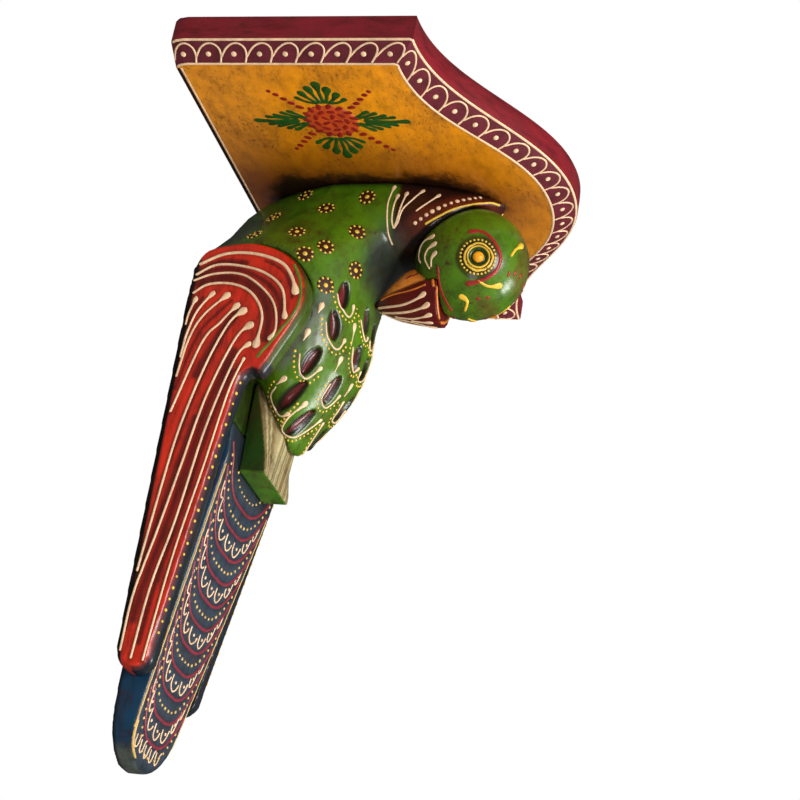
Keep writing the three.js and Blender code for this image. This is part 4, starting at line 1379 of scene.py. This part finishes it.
def studio():
    """A pale floor below the hanging bracket, a pale surround and soft lights."""
    made, tree, shader, place = fresh_material("floor_paint")
    tint = ramp(tree, noise(tree, place, 3.0), [(0.3, linear(FLOOR_GREY)), (0.7, linear(FLOOR_PALE))])
    tree.links.new(tint, shader.inputs["Base Color"])
    shader.inputs["Roughness"].default_value = 0.9
    mesh = bpy.data.meshes.new("floor")
    reach, level = 40.0, -0.9
    quarters = ((-1, -1), (1, -1), (1, 1), (-1, 1))
    corners = [(x * reach, y * reach, level) for x, y in quarters]
    mesh.from_pydata(corners, [], [(0, 1, 2, 3)])
    mesh.materials.append(made)
    floor = bpy.data.objects.new("floor", mesh)
    bpy.context.scene.collection.objects.link(floor)
    floor.visible_glossy = False
    world = bpy.data.worlds.new("surround")
    world.use_nodes = True
    background = next(n for n in world.node_tree.nodes if n.type == "BACKGROUND")
    background.inputs["Color"].default_value = (1.0, 1.0, 1.0, 1.0)
    links = world.node_tree.links
    seen = node(world.node_tree, "ShaderNodeMapRange", **{"To Min": 0.72, "To Max": 1.0})
    glossy = node(world.node_tree, "ShaderNodeMapRange", **{"To Min": 0.0, "To Max": 0.66})
    strength = node(world.node_tree, "ShaderNodeMath", operation="SUBTRACT")
    rays = world.node_tree.nodes.new("ShaderNodeLightPath")
    links.new(rays.outputs["Is Camera Ray"], seen.inputs["Value"])
    links.new(rays.outputs["Is Glossy Ray"], glossy.inputs["Value"])
    links.new(seen.outputs["Result"], strength.inputs[0])
    links.new(glossy.outputs["Result"], strength.inputs[1])
    links.new(strength.outputs["Value"], background.inputs["Strength"])
    bpy.context.scene.world = world
    bpy.context.scene.view_settings.view_transform = "Standard"
    area_light("key", (-0.9, -1.5, -0.1), (0, -0.06, -0.05), 0.6, 23)
    area_light("side", (-1.3, -0.5, -1.1), (0, -0.05, -0.1), 0.5, 11)
    area_light("front", (0.5, -1.4, -0.5), (0, -0.08, 0.0), 0.5, 14)


def camera():
    """The camera that the photograph was taken from, as far as it could be worked out."""
    forward, place = CAMERA_FORWARD, CAMERA_PLACE
    up = (CAMERA_UP - forward * CAMERA_UP.dot(forward)).normalized()
    right = forward.cross(up).normalized()
    data = bpy.data.cameras.new("camera")
    data.lens = CAMERA_LENS
    data.sensor_width = 36
    made = bpy.data.objects.new("camera", data)
    made.matrix_world = Matrix((
        (right.x, up.x, -forward.x, place.x),
        (right.y, up.y, -forward.y, place.y),
        (right.z, up.z, -forward.z, place.z),
        (0, 0, 0, 1),
    ))
    bpy.context.scene.collection.objects.link(made)
    bpy.context.scene.camera = made


def main():
    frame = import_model()
    cad = frame["nodes"]

    cream = brushed("cream_paint", CREAM, (1, 1, 0.3), 300, 0.72, 0.3, 160, 0.32, 0.1)
    yellow = brushed("yellow_paint", YELLOW, (1, 1, 1), 400, 0.6, 0.3, 200, 0.32, 0.1)
    tan = brushed("tan_paint", TAN, (1, 1, 1), 400, 0.6, 0.3, 200, 0.34, 0.1)
    gold = brushed("gold_paint", ORANGE, (1, 1, 1), 300, 0.7, 0.3, 160, 0.32, 0.1)
    lemon = brushed("lemon_paint", LEMON, (1, 1, 1), 300, 0.7, 0.3, 160, 0.32, 0.1)
    red = brushed("red_stroke_paint", STROKE_RED, (1, 1, 1), 260, 0.7, 0.3, 160, 0.32, 0.1)
    arch_red = brushed("arch_red_paint", ARCH_RED, (1, 1, 1), 260, 0.7, 0.3, 160, 0.36, 0.1)
    line_green = brushed("green_line_paint", LINE_GREEN, (1, 1, 1), 260, 0.6, 0.4, 160, 0.32, 0.1)
    dark_ground = brushed("dark_ground_paint", DARK_GROUND, (1, 1, 1), 260, 0.6, 0.4, 200, 0.34, 0.1)
    flower_red = brushed("flower_red_paint", FLOWER_RED, (1, 1, 1), 180, 0.7, 0.35, 120, 0.34, 0.1)
    flower_dark = brushed("flower_dark_paint", FLOWER_DARK, (1, 1, 1), 220, 0.7, 0.3, 160, 0.34, 0.1)
    leaf = brushed("leaf_paint", LEAF_GREEN, (1, 1, 1), 260, 0.5, 0.4, 160, 0.34, 0.1)
    fascia = brushed("fascia_paint", CRIMSON, (0.4, 0.4, 1.6), 140, 0.5, 0.75, 48, 0.28, 0.15)
    band = brushed("band_paint", BAND, (1, 1, 1), 120, 0.6, 0.6, 80, 0.3, 0.15)
    ochre = shaded_ochre("ochre_paint")
    black = brushed("back_paint", BACK_BLACK, (1, 1, 0.4), 120, 0.6, 0.5, 60, 0.5, 0.3)
    feathers = brushed("body_paint", None, (1, 1, 0.7), 130, 0.5, 0.9, 40, 0.22, 0.22)
    wing_paint = brushed("wing_paint", None, (1.3, 1.3, 0.3), 200, 0.5, 0.7, 55, 0.24, 0.22)
    tail_paint = brushed("tail_paint", None, (1.4, 1.4, 0.5), 130, 0.45, 0.6, 55, 0.28, 0.22)
    beak_paint = brushed("beak_paint", None, (1, 0.3, 1), 220, 0.6, 0.4, 110, 0.24, 0.15)

    shelf = make_shelf([fascia, band, ochre, black])
    trim_shelf(shelf, cream, flower_red, flower_dark, leaf, black)

    body = refined(cad, "body", 1.0, 9, feathers)
    colour_body(body)
    paint_body(body, cream, yellow, dark_ground)

    head = refined(cad, "head", 0.7, 7, feathers)
    colour_head(head)
    paint_head(head, cream, yellow, red, lemon)
    for name, side in SIDES:
        make_eye(name, side, beak_paint)

    upper = refined(cad, "upper_beak", 0.5, 8, beak_paint)
    colour_beak(upper, UPPER_BEAK, UPPER_BEAK_TOP)
    lower = refined(cad, "lower_beak", 0.5, 8, beak_paint)
    swell_lower_beak(lower)
    colour_beak(lower, LOWER_BEAK, LOWER_BEAK_TOP)
    paint_beak(upper, lower, cream, gold, red)

    for name, side in SIDES:
        wing = refined(cad, f"{name}_wing", 0.8, 4, wing_paint)
        colour_wing(wing)
        paint_wing(name, side, wing, cream, line_green, yellow)

    tail = refined(cad, "tail", 0.9, 3, tail_paint)
    colour_tail(tail)
    paint_tail(tail, arch_red, tan, cream)

    perch = refined(cad, "perch_block", 0.7, 3, feathers)
    colour_perch(perch)

    steel = metal("zinc_steel", ZINC, 0.32)
    wood = bare_wood("raw_wood")
    make_plugs(wood)
    for name, made in cad.items():
        made.data.materials.clear()
        is_steel = "hanger" in name or "screw" in name
        made.data.materials.append(steel if is_steel else wood)

    studio()
    camera()


main()
